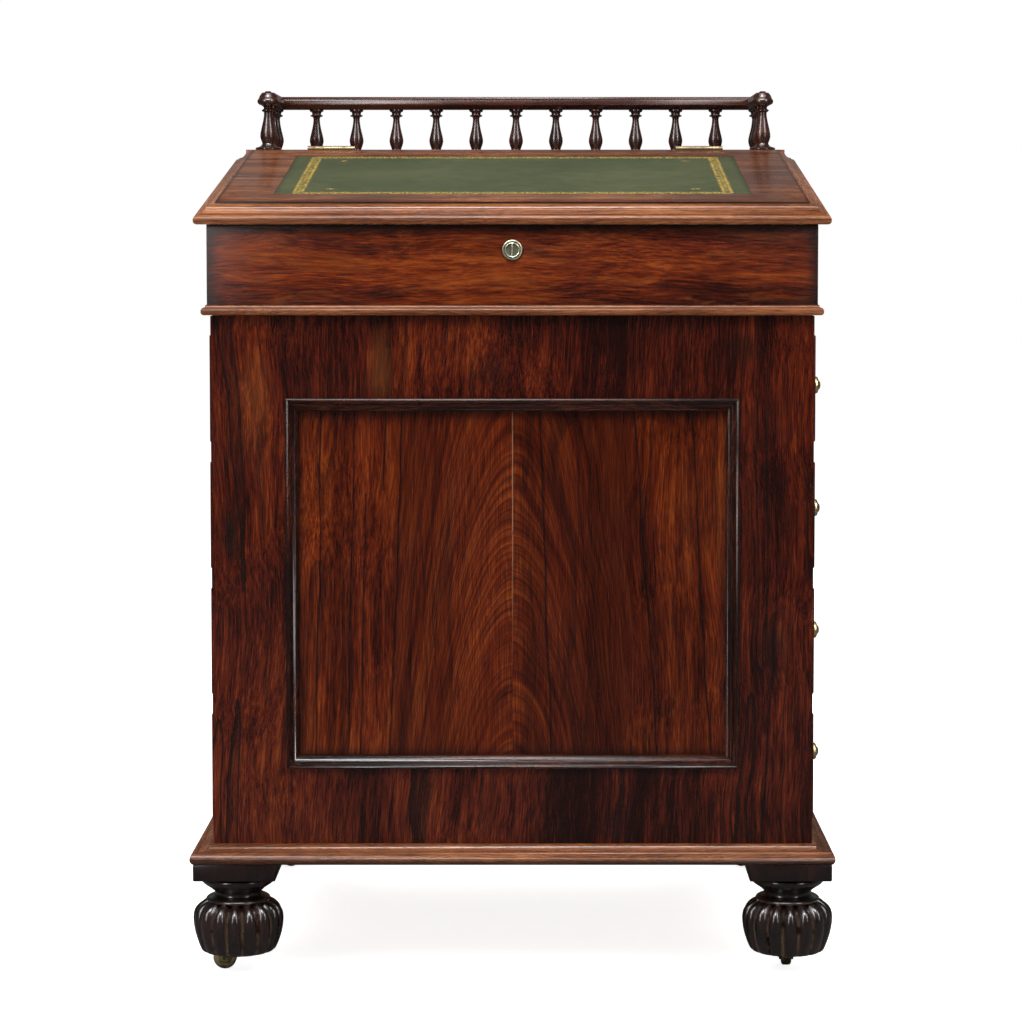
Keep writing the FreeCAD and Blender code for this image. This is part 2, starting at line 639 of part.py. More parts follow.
def build_castors():
    """Plate and pintle fixed in the foot; fork with its axle; wheel. Built trailing along +X."""
    ceiling = foot_lift + recess_depth
    plate_low = ceiling - castor_plate_thickness
    fork_top = plate_low - part_gap
    fork_low = fork_top - fork_plate
    head_top = fork_low - part_gap
    plate = faceted("castor_plate_disc", [(castor_plate_radius, plate_low), (castor_plate_radius, ceiling)], 16)
    pintle = rod("castor_pintle", pintle_radius, plate_low - head_top, Vector(0, 0, 1), 0, 0, head_top)
    head = faceted("castor_pintle_head", [(pintle_radius + 1.2, head_top - 2), (pintle_radius + 1.2, head_top)], 8)
    pivot = fused("castor_pivot", [plate, pintle, head])
    slot = wheel_width / 2 + part_gap
    cheek = wheel_radius * 0.45
    outline = [(-pintle_radius - 4, fork_top), (-pintle_radius - 4, fork_low - 4),
               (castor_trail - cheek, wheel_radius - cheek), (castor_trail + cheek, wheel_radius - cheek),
               (castor_trail + cheek, fork_top)]
    blank = padded("fork_blank", "XZ_Plane", [outline], (slot + fork_plate) * 2)
    along = Vector(0, -1, 0)
    room = board("fork_slot", (-pintle_radius - 5, castor_trail + cheek + 1), (-slot, slot), (0, fork_low))
    bore = rod("fork_bore", pintle_radius + running_fit, fork_plate + 2, Vector(0, 0, 1), 0, 0, fork_low - 1)
    half_axle = slot + fork_plate
    seat = rod("axle_seat", axle_radius, half_axle * 2, along, castor_trail, half_axle, wheel_radius)
    fork = cut("fork", blank, group("fork_waste", [room, bore, seat]))
    axle = rod("axle", axle_radius, half_axle * 2, along, castor_trail, half_axle, wheel_radius)
    half_wheel = wheel_width / 2
    hub = axle_radius + running_fit
    half_tread = half_wheel - 1.5
    rim = wheel_radius - 1.6
    tread = turned("wheel_turning", [
        (hub, -half_wheel), (rim, -half_wheel), (wheel_radius, -half_tread), (wheel_radius, half_tread),
        (rim, half_wheel), (hub, half_wheel)])
    tread.Placement.Rotation = Rotation(Vector(1, 0, 0), 90)
    place(tread, castor_trail, 0, wheel_radius)
    fork_group = group("fork_and_axle", [fork, axle])
    wheel_group = group("wheel_on_axle", [tread])
    pivots = []
    for corner, (side, end) in CORNERS.items():
        x, y, turn = foot_x * side, foot_back * end, CASTOR_TURN[corner]
        pivots.append(copy_of(f"pivot_{corner}", pivot, x, y, 0))
        node(f"castor_fork_{corner}", copy_of(f"fork_{corner}", fork_group, x, y, 0, turn))
        node(f"castor_wheel_{corner}", copy_of(f"wheel_{corner}", wheel_group, x, y, 0, turn))
    node("castor_plates", group("pivots", pivots))


# ---------------------------------------------------------------- drawers in the side
def brass_knob(name):
    """A round knob on a short stem, standing out along +X from X 0."""
    stem = knob_radius * 0.4
    disc = knob_reach - 6.5
    body = faceted(name, [(stem, 0), (stem, disc - 1.0), (knob_radius, disc), (knob_radius, disc + 3.2),
                          (knob_radius * 0.42, knob_reach)], 14)
    body.Placement.Rotation = Rotation(Vector(0, 1, 0), 90)
    return group(f"{name}_outward", [body])


def build_side_drawers():
    half_deep = inner_back - drawer_gap
    half_high = drawer_opening / 2 - drawer_gap
    front = cock_beaded("drawer_front", drawer_front_thickness, half_deep, half_high)
    knob = brass_knob("drawer_knob")
    front_back = half_width - drawer_front_thickness
    end = inner_left + drawer_end_gap
    wall = drawer_side_thickness
    for number in range(1, drawer_count + 1):
        name = f"drawer_{number}"
        low, high = opening_low(number) + drawer_gap, opening_low(number) + drawer_opening - drawer_gap
        middle = (low + high) / 2
        between = (wall - half_deep, half_deep - wall)
        node(f"{name}_front", copy_of(f"{name}_face", front, half_width, 0, middle))
        near = board(f"{name}_side", (end, front_back), (-half_deep, wall - half_deep), (low, high))
        far = mirrored(f"{name}_far_side", near, Vector(0, 1, 0))
        bottom_low = low + drawer_bottom_rise
        bottom = board(f"{name}_bottom", (end, front_back), between, (bottom_low, bottom_low + drawer_bottom_thickness))
        rear = board(f"{name}_back", (end, end + wall), between,
                     (bottom_low + drawer_bottom_thickness, high - drawer_back_drop))
        node(f"{name}_box", group(f"{name}_boards", [near, far, bottom, rear]))
        knobs = [copy_of(f"{name}_knob_{end_name}", knob, half_width, (knob_inset - back_face) * sign,
                         middle - knob_drop) for end_name, sign in (("front", 1), ("rear", -1))]
        node(f"{name}_knobs", group(f"{name}_knob_pair", knobs))


# ---------------------------------------------------------------- writing box
def build_box_boards():
    front = padded("box_front_blank", "YZ_Plane", [[
        (box_front, box_bottom), (well_front, box_bottom), (well_front, lid_rest(well_front)),
        (box_front, lid_rest(box_front))]], box_width)
    lock_hole = rod("lock_hole", lock_radius - 2.5, box_wall + 2, Vector(0, 1, 0), 0, box_front - 1, lock_height)
    node("box_front_board", cut("box_front_bored", front, lock_hole))
    fork = hinge_y + lid_gap
    side = padded("box_side_blank", "YZ_Plane", [[
        (well_front, box_bottom), (box_back, box_bottom), (box_back, shelf_under), (fork, shelf_under),
        (fork, lid_rest(fork)), (well_front, lid_rest(well_front))]], box_wall)
    sides = [copy_of("box_side_left", side, box_wall / 2 - box_half, 0, 0),
             copy_of("box_side_right", side, box_half - box_wall / 2, 0, 0)]
    node("box_side_boards", group("box_sides", sides))
    across = (-well_half, well_half)
    node("box_back_board", board("box_back", across, (well_back, box_back), (box_floor, shelf_under)))
    node("box_bottom_board", board("box_floor", across, (well_front, well_back), (box_floor, box_floor_top)))


def build_box_bead():
    """Half-round bead with a fillet above it, on the front and both sides."""
    out, high = box_bead_projection, box_bead_height
    tip = high * 0.375
    profile = [(0, 0), (-out + 2.7, 0), (-out, tip, -0.2), (-out + 2.7, tip * 2, -0.2),
               (-out + 4.2, tip * 2 + 0.6), (-out + 4.2, high), (0, high)]
    front = moulding("bead_front", profile, box_half + out, out, "XY_Plane", -out, 1)
    place(front, 0, box_front, box_bottom)
    side_half = (box_back - box_front + out) / 2
    middle = (box_back + box_front - out) / 2
    lengths = [front]
    for side, turn, mitred_end, reach in (("right", 90, -1, box_half), ("left", 270, 1, -box_half)):
        piece = moulding(f"bead_{side}", profile, side_half, out, "XY_Plane", -out, 1, (mitred_end,))
        piece.Placement.Rotation = Rotation(Vector(0, 0, 1), turn)
        lengths.append(place(piece, reach, middle, box_bottom))
    node("box_bead", group("bead_lengths", lengths))


def build_slide():
    """Dovetailed bearers on the pedestal, guides under the box, and the stop of the slide."""
    half_top, half_foot = bearer_width / 2, bearer_width / 2 - bearer_undercut
    high = box_floor - part_gap
    start, end = front_face + bearer_width, back_face - 2
    bearer = padded("bearer", "XZ_Plane", [[
        (-half_foot, carcase_top), (half_foot, carcase_top), (half_top, high), (-half_top, high)]], end - start)
    middle = (start + end) / 2
    bearers = [copy_of("bearer_left", bearer, -bearer_spread, middle, 0),
               copy_of("bearer_right", bearer, bearer_spread, middle, 0)]
    clear = part_gap + 0.2
    lean = bearer_undercut / (high - carcase_top)
    low = box_bottom
    near_low = half_foot + clear + (low - carcase_top) * lean
    near_top = near_low + (box_floor - low) * lean
    far = near_low + guide_width
    guide = padded("guide", "XZ_Plane", [[(near_low, low), (far, low), (far, box_floor), (near_top, box_floor)]],
                   well_back - well_front - 4)
    guide_pair = group("guide_pair", [guide, mirrored("guide_other", guide, Vector(1, 0, 0))])
    guide_middle = (well_back + well_front) / 2
    guides = [copy_of("guides_left", guide_pair, -bearer_spread, guide_middle, 0),
              copy_of("guides_right", guide_pair, bearer_spread, guide_middle, 0)]
    stop_end = start + 25
    block = board("stop_block", (-25, 25), (start, stop_end), (carcase_top, high))
    batten_front = stop_end + slide_travel + part_gap
    batten = board("stop_batten", (-25, 25), (batten_front, batten_front + 20), (box_bottom, box_floor))
    node("slide_bearers", group("bearers_and_stop", bearers + [block]))
    node("slide_guides", group("guides_and_batten", guides + [batten]))


def build_lock():
    """Round brass boss on the front board, its barrel through the board, the case behind."""
    barrel = lock_radius - 2.5
    flange = faceted("lock_flange", [(lock_radius, 0), (lock_radius, 1.2), (lock_radius - 1.4, 2.4)], 24)
    stem = rod("lock_barrel", barrel, box_wall + 0.5, Vector(0, 0, 1), 0, 0, -box_wall)
    boss = fused("lock_boss_turning", [stem, flange])
    boss.Placement.Rotation = Rotation(Vector(1, 0, 0), 90)
    place(boss, 0, box_front, lock_height)
    slot = board("lock_key_slot", (-0.9, 0.9), (box_front - 3, box_front + 4),
                 (lock_height - lock_radius * 0.42, lock_height + lock_radius * 0.42))
    case = board("lock_case", (-25, 25), (well_front, well_front + 9), (lock_height - 22, lock_height + 16))
    node("lock", group("lock_pieces", [cut("lock_boss_slotted", boss, slot), case]))


def build_nest():
    """Row of small drawers at the back of the well, with open pigeonholes above them."""
    front = well_back - nest_depth
    top_low = nest_top - nest_board
    pieces = [board("nest_top", (-well_half, well_half), (front, well_back), (top_low, top_low + nest_board))]
    bay = (well_half * 2 - nest_board * (nest_drawers - 1)) / nest_drawers
    pitch = bay + nest_board
    for number in range(1, nest_drawers):
        edge = -well_half + pitch * number - nest_board
        pieces.append(board(f"nest_divider_{number}", (edge, edge + nest_board), (front, well_back),
                            (box_floor_top, top_low)))
        pieces.append(board(f"nest_partition_{number}", (edge, edge + nest_board), (front + 20, well_back),
                            (top_low + nest_board, shelf_under)))
    node("nest_case", group("nest_boards", pieces))
    gap, wall = part_gap, 5.0
    knob = faceted("small_knob", [(2.5, 0), (2.5, 3.0), (nest_knob_radius, 4.5), (nest_knob_radius, 6.5),
                                  (2.0, 9.0)], 12)
    knob.Placement.Rotation = Rotation(Vector(1, 0, 0), 90)
    knob_out = group("small_knob_outward", [knob])
    for number in range(1, nest_drawers + 1):
        name = f"small_drawer_{number}"
        left = -well_half + pitch * (number - 1) + gap
        right = left + bay - gap * 2
        low, high = box_floor_top + gap, top_low - gap
        back = well_back - 6
        face_back = front + 10
        panel = board(f"{name}_face", (left, right), (front, face_back), (low, high))
        near = board(f"{name}_near", (left, left + wall), (face_back, back), (low, high))
        far = board(f"{name}_far", (right - wall, right), (face_back, back), (low, high))
        bottom = board(f"{name}_bottom", (left + wall, right - wall), (face_back, back), (low + 2, low + 6))
        rear = board(f"{name}_rear", (left + wall, right - wall), (back - wall, back), (low + 6, high))
        handle = copy_of(f"{name}_knob", knob_out, (left + right) / 2, front, (low + high) / 2)
        node(name, group(f"{name}_boards", [panel, near, far, bottom, rear, handle]))


# ---------------------------------------------------------------- lid and its hinges
def tilted(name, things):
    """Pieces drawn flat about the hinge line, turned to the slope of the lid."""
    compound = group(name, things)
    compound.Placement = Placement(Vector(0, 0, 0), Rotation(Vector(1, 0, 0), slope.number))
    bind(compound, "Placement.Rotation.Angle", slope)
    return place(compound, 0, hinge_y, hinge_z)


def hinge_waste(side_gap):
    """Room round both knuckles, cut out of the wood on one side of the hinge line."""
    rooms = []
    for side in (-1, 1):
        start = hinge_spread * side - hinge_length / 2 - part_gap
        rooms.append(rod(f"knuckle_room_{side_gap}_{side + 1}", knuckle_radius + part_gap, hinge_length + part_gap * 2,
                         Vector(1, 0, 0), start, hinge_y, hinge_z))
    return rooms


def leaf(name, side, near, far, rise=0.0):
    """One leaf's plate, let into the wood between two depths; its bed rises into the knuckle's room."""
    top = hinge_z - knuckle_radius - part_gap
    middle = hinge_spread * side
    return board(name, (middle - hinge_length / 2, middle + hinge_length / 2), (near, far),
                 (top - leaf_width, top + rise))


def barrel(name, start, length, bore):
    """A length of knuckle from X start, bored for the pin."""
    outside = rod(f"{name}_round", knuckle_radius, length, Vector(1, 0, 0), start, hinge_y, hinge_z)
    return outside, rod(f"{name}_bore", bore, length, Vector(1, 0, 0), start, hinge_y, hinge_z)


def build_hinges():
    """Two butt hinges: the box's leaf has the outer knuckles and the pin, the lid's the middle one."""
    box_leaves, lid_leaves, pins = [], [], []
    third = hinge_length / 3
    web_low = hinge_z - knuckle_radius - part_gap
    box_side = (hinge_y + lid_gap / 2 - 0.3, hinge_y + lid_gap / 2 - 0.3 + leaf_thickness)
    lid_side = (hinge_y - lid_gap / 2 + 0.3 - leaf_thickness, hinge_y - lid_gap / 2 + 0.3)
    for side, tag in ((-1, "left"), (1, "right")):
        left = hinge_spread * side - hinge_length / 2
        middle = (left + third + part_gap, third - part_gap * 2)
        for owner, pieces, limits, parts, bore in (
                ("box", box_leaves, box_side, ((left, third), (left + third * 2, third)), hinge_pin_radius),
                ("lid", lid_leaves, lid_side, (middle,), hinge_pin_radius + running_fit)):
            solids = [leaf(f"{owner}_leaf_{tag}", side, *limits)]
            bores = []
            for index, (start, length) in enumerate(parts):
                name = f"{owner}_knuckle_{tag}_{index}"
                outside, hole = barrel(name, start, length, bore)
                web = board(f"{name}_web", (start, start + length), limits, (web_low, hinge_z))
                solids += [outside, web]
                bores.append(hole)
            whole = fused(f"{owner}_hinge_{tag}_solid", solids)
            pieces.append(cut(f"{owner}_hinge_{tag}", whole, group(f"{owner}_bores_{tag}", bores)))
        pins.append(rod(f"hinge_pin_{tag}", hinge_pin_radius, hinge_length, Vector(1, 0, 0), left, hinge_y, hinge_z))
    node("hinge_leaves_box", group("leaves_on_box", box_leaves + pins))
    node("hinge_leaves_lid", group("leaves_on_lid", lid_leaves))
    rise = knuckle_radius / 2
    return [leaf(f"box_leaf_bed_{side + 1}", side, *box_side, rise) for side in (-1, 1)], \
           [leaf(f"lid_leaf_bed_{side + 1}", side, *lid_side, rise) for side in (-1, 1)]


def build_lid(beds):
    """Board with a raised field, moulded on the front and both sides, leather let in."""
    top = -knuckle_rise
    under = top - lid_thickness
    rear = 8.0
    field = board("lid_field", (-field_half, field_half), (-field_length, rear), (under, top))
    margin = leather_margin
    leather_low = top - leather_depth - leather_thickness
    bed = board("leather_bed", (margin - field_half, field_half - margin), (margin - field_length, -margin),
                (leather_low, top + 1))
    out, nose = lid_moulding, lid_nose
    tall = lid_thickness
    profile = [(0, 0), (-out + 3.6, 0), (-out, nose / 2, -0.2), (-out + 3.6, nose, -0.2), (-out + 5.3, nose),
               (-out + 5.3, nose + 1.4), (-out * 0.42, tall * 0.74, 0.14), (0, tall - 1.7, -0.19)]
    front = moulding("lid_nose_front", profile, lid_half, out, "XY_Plane", -out, 1)
    place(front, 0, -field_length, under)
    side_half = (lid_length + rear) / 2
    middle = (rear - lid_length) / 2
    runs = [front]
    for side, turn, mitred_end, reach in (("right", 90, -1, field_half), ("left", 270, 1, -field_half)):
        piece = moulding(f"lid_nose_{side}", profile, side_half, out, "XY_Plane", -out, 1, (mitred_end,))
        piece.Placement.Rotation = Rotation(Vector(0, 0, 1), turn)
        runs.append(place(piece, reach, middle, under))
    room = lid_thickness * 3
    behind = board("behind_hinge_line", (-lid_half - 5, lid_half + 5), (hinge_y - lid_gap / 2, hinge_y + room),
                   (hinge_z - room, hinge_z + room / 2))
    field_cut = cut("lid_field_bedded", field, bed)
    waste = group("lid_board_waste", [behind] + hinge_waste("lid") + beds)
    node("lid_board", cut("lid_field_trimmed", tilted("lid_field_tilted", [field_cut]), waste))
    node("lid_moulding", cut("lid_moulding_trimmed", tilted("lid_moulding_tilted", runs), behind))
    leather = board("leather", (margin - field_half, field_half - margin), (margin - field_length, -margin),
                    (leather_low, leather_low + leather_thickness))
    node("lid_leather", tilted("leather_tilted", [leather]))


def build_shelf(beds):
    front = hinge_y + lid_gap / 2
    blank = board("shelf_blank", (-box_half, box_half), (front, box_back), (shelf_under, shelf_height))
    node("shelf_board", cut("shelf_notched", blank, group("shelf_waste", hinge_waste("shelf") + beds)))


# ---------------------------------------------------------------- gallery
def build_gallery():
    """Two front posts, balusters on three sides and a moulded rail mitred at the back."""
    high = rail_clearance
    belly, neck = baluster_belly, baluster_neck
    baluster = faceted("baluster", [
        (belly - 2.0, 0), (belly, high * 0.22), (belly - 0.9, high * 0.38), (neck, high * 0.7),
        (neck + 1.0, high - 7.2), (neck + 2.9, high - 5.0), (neck + 1, high - 3.0), (belly, high)], 10)
    base, button, tall = post_base_radius, post_button_radius, post_height
    button_low = tall - 15.6
    vase_top = high - 6.3
    post = faceted("post", [
        (base, 0), (base, 3.0), (belly - 1.0, 6.4), (belly + 1.4, high * 0.29), (neck + 1.2, high * 0.68),
        (neck + 0.9, vase_top), (neck + 3.4, vase_top + 1.4), (neck + 1.2, vase_top + 3.3),
        (button - 1.6, button_low), (button, button_low + 3.0), (button - 1.6, button_low + 6.0),
        (button * 0.56, tall - 5.2), (button * 0.25, tall)], 12)
    posts = [copy_of(f"post_{side + 1}", post, post_spread * side, post_y, shelf_height) for side in (-1, 1)]
    places = []
    for number in range(rear_balusters):
        places.append((post_spread * (2.0 * number / (rear_balusters - 1) - 1), rear_rail_y))
    side_step = (rear_rail_y - post_y) / (side_balusters + 1)
    for side in (-1, 1):
        places += [(post_spread * side, post_y + side_step * number) for number in range(1, side_balusters + 1)]
    balusters = [copy_of(f"baluster_{number}", baluster, x, y, shelf_height)
                 for number, (x, y) in enumerate(places)]
    node("gallery_posts", group("posts", posts))
    node("gallery_balusters", group("balusters", balusters))
    half, rail = rail_width / 2, rail_height
    foot, crown = half * 0.73, half * 0.6
    section = [(-foot, 0), (foot, 0), (half, rail * 0.34), (half, rail * 0.43), (crown, rail, 0.1),
               (-crown, rail), (-half, rail * 0.43, 0.1), (-half, rail * 0.34)]
    rear = moulding("rail_rear", section, post_spread + half, rail_width, "XY_Plane", half, -1)
    place(rear, 0, rear_rail_y, rail_under)
    side_half = (rear_rail_y + half - post_y) / 2
    middle = (rear_rail_y + half + post_y) / 2
    rails = [rear]
    for side, turn, mitred_end, reach in (("right", 270, -1, post_spread), ("left", 90, 1, -post_spread)):
        piece = moulding(f"rail_{side}", section, side_half, rail_width, "XY_Plane", half, -1, (mitred_end,))
        piece.Placement.Rotation = Rotation(Vector(0, 0, 1), turn)
        place(piece, reach, middle, rail_under)
        head = copy_of(f"post_head_{side}", post, reach, post_y, shelf_height)
        rails.append(cut(f"rail_{side}_scribed", piece, head))
    node("gallery_rail", group("rails_on_balusters", rails))


# ---------------------------------------------------------------- the desk
def check_and_export():
    """Recompute everything, stop at the first fault, then write one file for each sub-part."""
    doc.recompute()
    for thing in doc.Objects:
        for word in ("Invalid", "Error"):
            if word in thing.State:
                raise RuntimeError(f"{thing.Name} is {thing.State}")
    for thing in nodes:
        shape = thing.Shape
        if shape.isNull() or not shape.isValid() or not shape.Solids:
            raise RuntimeError(f"{thing.Label} has no valid solid")
    os.makedirs("parts", exist_ok=True)
    for thing in nodes:
        thing.Shape.exportStep(f"parts/{thing.Label}.step")
    print(f"{len(nodes)} sub-parts written")


def build_desk():
    build_front_and_back()
    build_carcase()
    build_base_moulding()
    build_feet()
    build_castors()
    build_side_drawers()
    build_box_boards()
    build_box_bead()
    build_slide()
    build_lock()
    build_nest()
    shelf_beds, lid_beds = build_hinges()
    build_lid(lid_beds)
    build_shelf(shelf_beds)
    build_gallery()
    check_and_export()


build_desk()
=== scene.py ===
"""A rosewood davenport desk: pedestal with panel and side drawers, sliding writing box, gallery.

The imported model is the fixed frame. Turned and carved pieces are modelled anew, mouldings and
boards get eased edges, and every piece gets its own wood, leather or brass.
"""

import math

import bmesh
import bpy
from mathutils import Matrix, Vector


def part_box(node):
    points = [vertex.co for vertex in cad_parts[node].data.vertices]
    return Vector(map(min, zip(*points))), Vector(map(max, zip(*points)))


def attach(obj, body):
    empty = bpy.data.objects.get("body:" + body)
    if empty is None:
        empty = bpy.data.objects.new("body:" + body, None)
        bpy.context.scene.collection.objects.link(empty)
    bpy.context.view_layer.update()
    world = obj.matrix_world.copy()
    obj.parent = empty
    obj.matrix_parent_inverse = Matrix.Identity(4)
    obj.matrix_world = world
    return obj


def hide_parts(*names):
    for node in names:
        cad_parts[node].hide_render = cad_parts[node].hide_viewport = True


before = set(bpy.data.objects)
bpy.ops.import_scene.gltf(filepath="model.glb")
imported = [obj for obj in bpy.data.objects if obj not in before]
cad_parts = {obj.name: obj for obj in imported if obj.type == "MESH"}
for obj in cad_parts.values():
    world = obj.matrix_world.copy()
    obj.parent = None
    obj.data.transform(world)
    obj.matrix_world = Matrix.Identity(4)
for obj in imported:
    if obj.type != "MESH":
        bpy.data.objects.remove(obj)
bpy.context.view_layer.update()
MM = 0.001


# ---------------------------------------------------------------- sums in a material
class Amount:
    """A socket in a material; sums written on it add Math nodes."""

    def __init__(self, finish, socket):
        self.finish, self.socket = finish, socket

    def math(self, operation, *others):
        return self.finish.node("ShaderNodeMath", {"operation": operation}, dict(enumerate((self,) + others)))

    def __add__(self, other):
        return self.math("ADD", other)

    def __sub__(self, other):
        return self.math("SUBTRACT", other)

    def __rsub__(self, other):
        return self.math("MULTIPLY", -1.0) + other

    def __mul__(self, other):
        return self.math("MULTIPLY", other)

    def __pow__(self, other):
        return self.math("POWER", other)

    def __abs__(self):
        return self.math("ABSOLUTE")


class Finish:
    """One material: its nodes are added by node(), its surface by polish()."""

    def __init__(self, name):
        self.material = bpy.data.materials.new(name)
        self.material.use_nodes = True
        self.tree = self.material.node_tree
        self.tree.nodes.clear()

    def node(self, kind, settings=None, inputs=None, output=0):
        made = self.tree.nodes.new(kind)
        for key, value in (settings or {}).items():
            if key == "stops":
                ramp = made.color_ramp
                while len(ramp.elements) < len(value):
                    ramp.elements.new(1.0)
                for element, (spot, tone) in zip(ramp.elements, value):
                    element.position, element.color = spot, (*tone, 1.0)
            else:
                setattr(made, key, value)
        for key, value in (inputs or {}).items():
            if isinstance(value, Amount):
                self.tree.links.new(value.socket, made.inputs[key])
            else:
                made.inputs[key].default_value = value
        return Amount(self, made.outputs[output])

    def spot(self):
        """Object coordinates, in metres."""
        return self.node("ShaderNodeTexCoord", output="Object")

    def parts(self, vector):
        return [self.node("ShaderNodeSeparateXYZ", inputs={0: vector}, output=i) for i in range(3)]

    def vector(self, x, y, z):
        return self.node("ShaderNodeCombineXYZ", inputs={0: x, 1: y, 2: z})

    def scaled(self, vector, scale, shift=(0, 0, 0)):
        settings = {"operation": "MULTIPLY_ADD"}
        return self.node("ShaderNodeVectorMath", settings, {0: vector, 1: scale, 2: shift})

    def noise(self, vector, scale=1.0, detail=2.0, rough=0.5, twist=0.0):
        inputs = {"Vector": vector, "Scale": scale, "Detail": detail, "Roughness": rough, "Distortion": twist}
        return self.node("ShaderNodeTexNoise", {"noise_dimensions": "3D"}, inputs)

    def between(self, value, low, high, to_low=0.0, to_high=1.0):
        """A smooth step from one value to another."""
        inputs = {"Value": value, "From Min": low, "From Max": high, "To Min": to_low, "To Max": to_high}
        return self.node("ShaderNodeMapRange", {"interpolation_type": "SMOOTHSTEP"}, inputs)

    def ramp(self, value, stops):
        return self.node("ShaderNodeValToRGB", {"stops": stops}, {0: value})

    def mix(self, share, one, other, blend="MIX"):
        settings = {"data_type": "RGBA", "blend_type": blend}
        one = one + (1.0,) if isinstance(one, tuple) else one
        other = other + (1.0,) if isinstance(other, tuple) else other
        return self.node("ShaderNodeMix", settings, {0: share, 6: one, 7: other}, output=2)

    def bump(self, height, distance, strength):
        return self.node("ShaderNodeBump", None, {"Strength": strength, "Distance": distance, "Height": height})

    def polish(self, **sockets):
        """The surface: socket names with _ for a space."""
        inputs = {key.replace("_", " "): value for key, value in sockets.items()}
        return self.show(self.node("ShaderNodeBsdfPrincipled", None, inputs))

    def show(self, surface):
        end = self.tree.nodes.new("ShaderNodeOutputMaterial")
        self.tree.links.new(surface.socket, end.inputs["Surface"])
        return self.material


# ---------------------------------------------------------------- woods
BLACK_VEIN = (0.0045, 0.0020, 0.0016)
GRAIN_SCALE = {"X": (1.0, 22.0, 22.0), "Y": (22.0, 1.0, 22.0), "Z": (22.0, 22.0, 1.0)}


def wood_figure(finish, along, shift, stretch=1.0):
    """Warped grain coordinates: slow along the grain, quick across it."""
    spot = finish.spot()
    scale = tuple(value * (stretch if value > 1 else 1.0) for value in GRAIN_SCALE[along])
    drift = finish.node("ShaderNodeTexNoise", None, {"Vector": finish.scaled(spot, (1, 1, 1), shift),
                        "Scale": 3.2, "Detail": 2.0}, output="Color")
    wander = finish.scaled(drift, (0.06, 0.06, 0.06), (-0.03, -0.03, -0.03))
    moved = finish.node("ShaderNodeVectorMath", {"operation": "ADD"}, {0: finish.scaled(spot, (1, 1, 1), shift),
                                                                      1: wander})
    return spot, finish.scaled(moved, scale)


def grain_layers(finish, grain):
    """Broad streaks, fine streaks, pores and black veins, each from 0 to 1."""
    broad = finish.noise(grain, 1.15, 3.0, 0.55, 0.25)
    streak = finish.noise(grain, 7.0, 3.0, 0.6, 0.15)
    fine = finish.noise(grain, 34.0, 3.0, 0.65)
    pores = finish.between(finish.noise(grain, 75.0, 1.0, 0.5), 0.58, 0.70)
    lines = finish.noise(grain, 0.62, 2.0, 0.5, 0.5)
    saw = finish.node("ShaderNodeMath", {"operation": "FRACT"}, {0: lines * 9.0 + fine * 0.06})
    vein = finish.between(saw, 0.70, 0.985) * finish.between(saw, 1.0, 0.988)
    kept = finish.between(finish.noise(grain, 0.5, 1.0), 0.42, 0.60)
    return broad, streak, fine, pores, vein * kept


def rosewood(name, along="Z", shift=(0, 0, 0), tones=None, veins=0.9, gloss=0.25, stretch=1.0, lift=0.0, tint=None,
             wear_and_highlight=0.0, sheen=0.3, contrast=1.35):
    """French-polished rosewood with black veins, its grain along an axis."""
    finish = Finish(name)
    spot, grain = wood_figure(finish, along, shift, stretch)
    broad, streak, fine, pores, vein = grain_layers(finish, grain)
    cloud = finish.noise(finish.scaled(spot, (1, 1, 1), shift), 6.0, 2.0, 0.5)
    tone = broad * (0.62 * contrast) + streak * (0.5 * contrast) + fine * (0.85 * contrast) + cloud * (0.5 * contrast)
    tone = tone + (lift + 0.52 - 1.235 * contrast)
    colour = finish.ramp(tone, tones or ROSEWOOD_TONES)
    if tint is not None:
        colour = tint(finish, spot, colour)
    colour = finish.mix(pores * 0.7, colour, BLACK_VEIN)
    colour = finish.mix(vein * veins, colour, BLACK_VEIN)
    # painted highlight along with wear: the arrises lighter, where they catch the light and where the polish is rubbed
    if wear_and_highlight:
        arris = finish.node("ShaderNodeAttribute", {"attribute_name": "arris"}, output="Fac")
        patchy = finish.between(finish.noise(finish.scaled(spot, (1, 1, 1), shift), 40.0, 3.0, 0.6), 0.30, 0.62)
        colour = finish.mix(arris * patchy * wear_and_highlight, colour, (0.30, 0.135, 0.055))
    rough = finish.noise(spot, 9.0, 3.0) * 0.12 + pores * 0.05 + (gloss - 0.06)
    height = fine * 0.5 - pores * 0.9 - vein * 0.3
    return finish.polish(Base_Color=colour, Roughness=rough, Normal=finish.bump(height, 0.00004, 0.4),
                         Specular_IOR_Level=sheen)


ROSEWOOD_TONES = ((0.24, (0.0086, 0.0010, 0.0005)), (0.40, (0.0241, 0.0024, 0.0007)), (0.52, (0.0449, 0.0046, 0.0010)),
                  (0.64, (0.0724, 0.0087, 0.0014)), (0.82, (0.1294, 0.0229, 0.0034)))
WARM_TONES = ((0.22, (0.0129, 0.0016, 0.0006)), (0.40, (0.0385, 0.0043, 0.0009)), (0.52, (0.0659, 0.0080, 0.0013)),
              (0.65, (0.1004, 0.0143, 0.0020)), (0.84, (0.1607, 0.0306, 0.0045)))
DARK_TONES = ((0.30, (0.0040, 0.0020, 0.0018)), (0.50, (0.0100, 0.0034, 0.0026)), (0.66, (0.0250, 0.0065, 0.0040)),
              (0.85, (0.0600, 0.0160, 0.0080)))
# lighter tones of rubbed polish, which on the upper faces of mouldings and lid also paint in the light they reflect
# from above
RUBBED_AND_LIT_TONES = ((0.24, (0.0486, 0.0130, 0.0046)), (0.42, (0.1134, 0.0335, 0.0112)), (0.54, (0.1890, 0.0614, 0.0210)),
                (0.66, (0.2538, 0.0931, 0.0341)), (0.84, (0.3456, 0.1490, 0.0590)))
PLAIN_TONES = ((0.28, (0.150, 0.060, 0.026)), (0.50, (0.235, 0.105, 0.048)), (0.75, (0.330, 0.165, 0.080)))


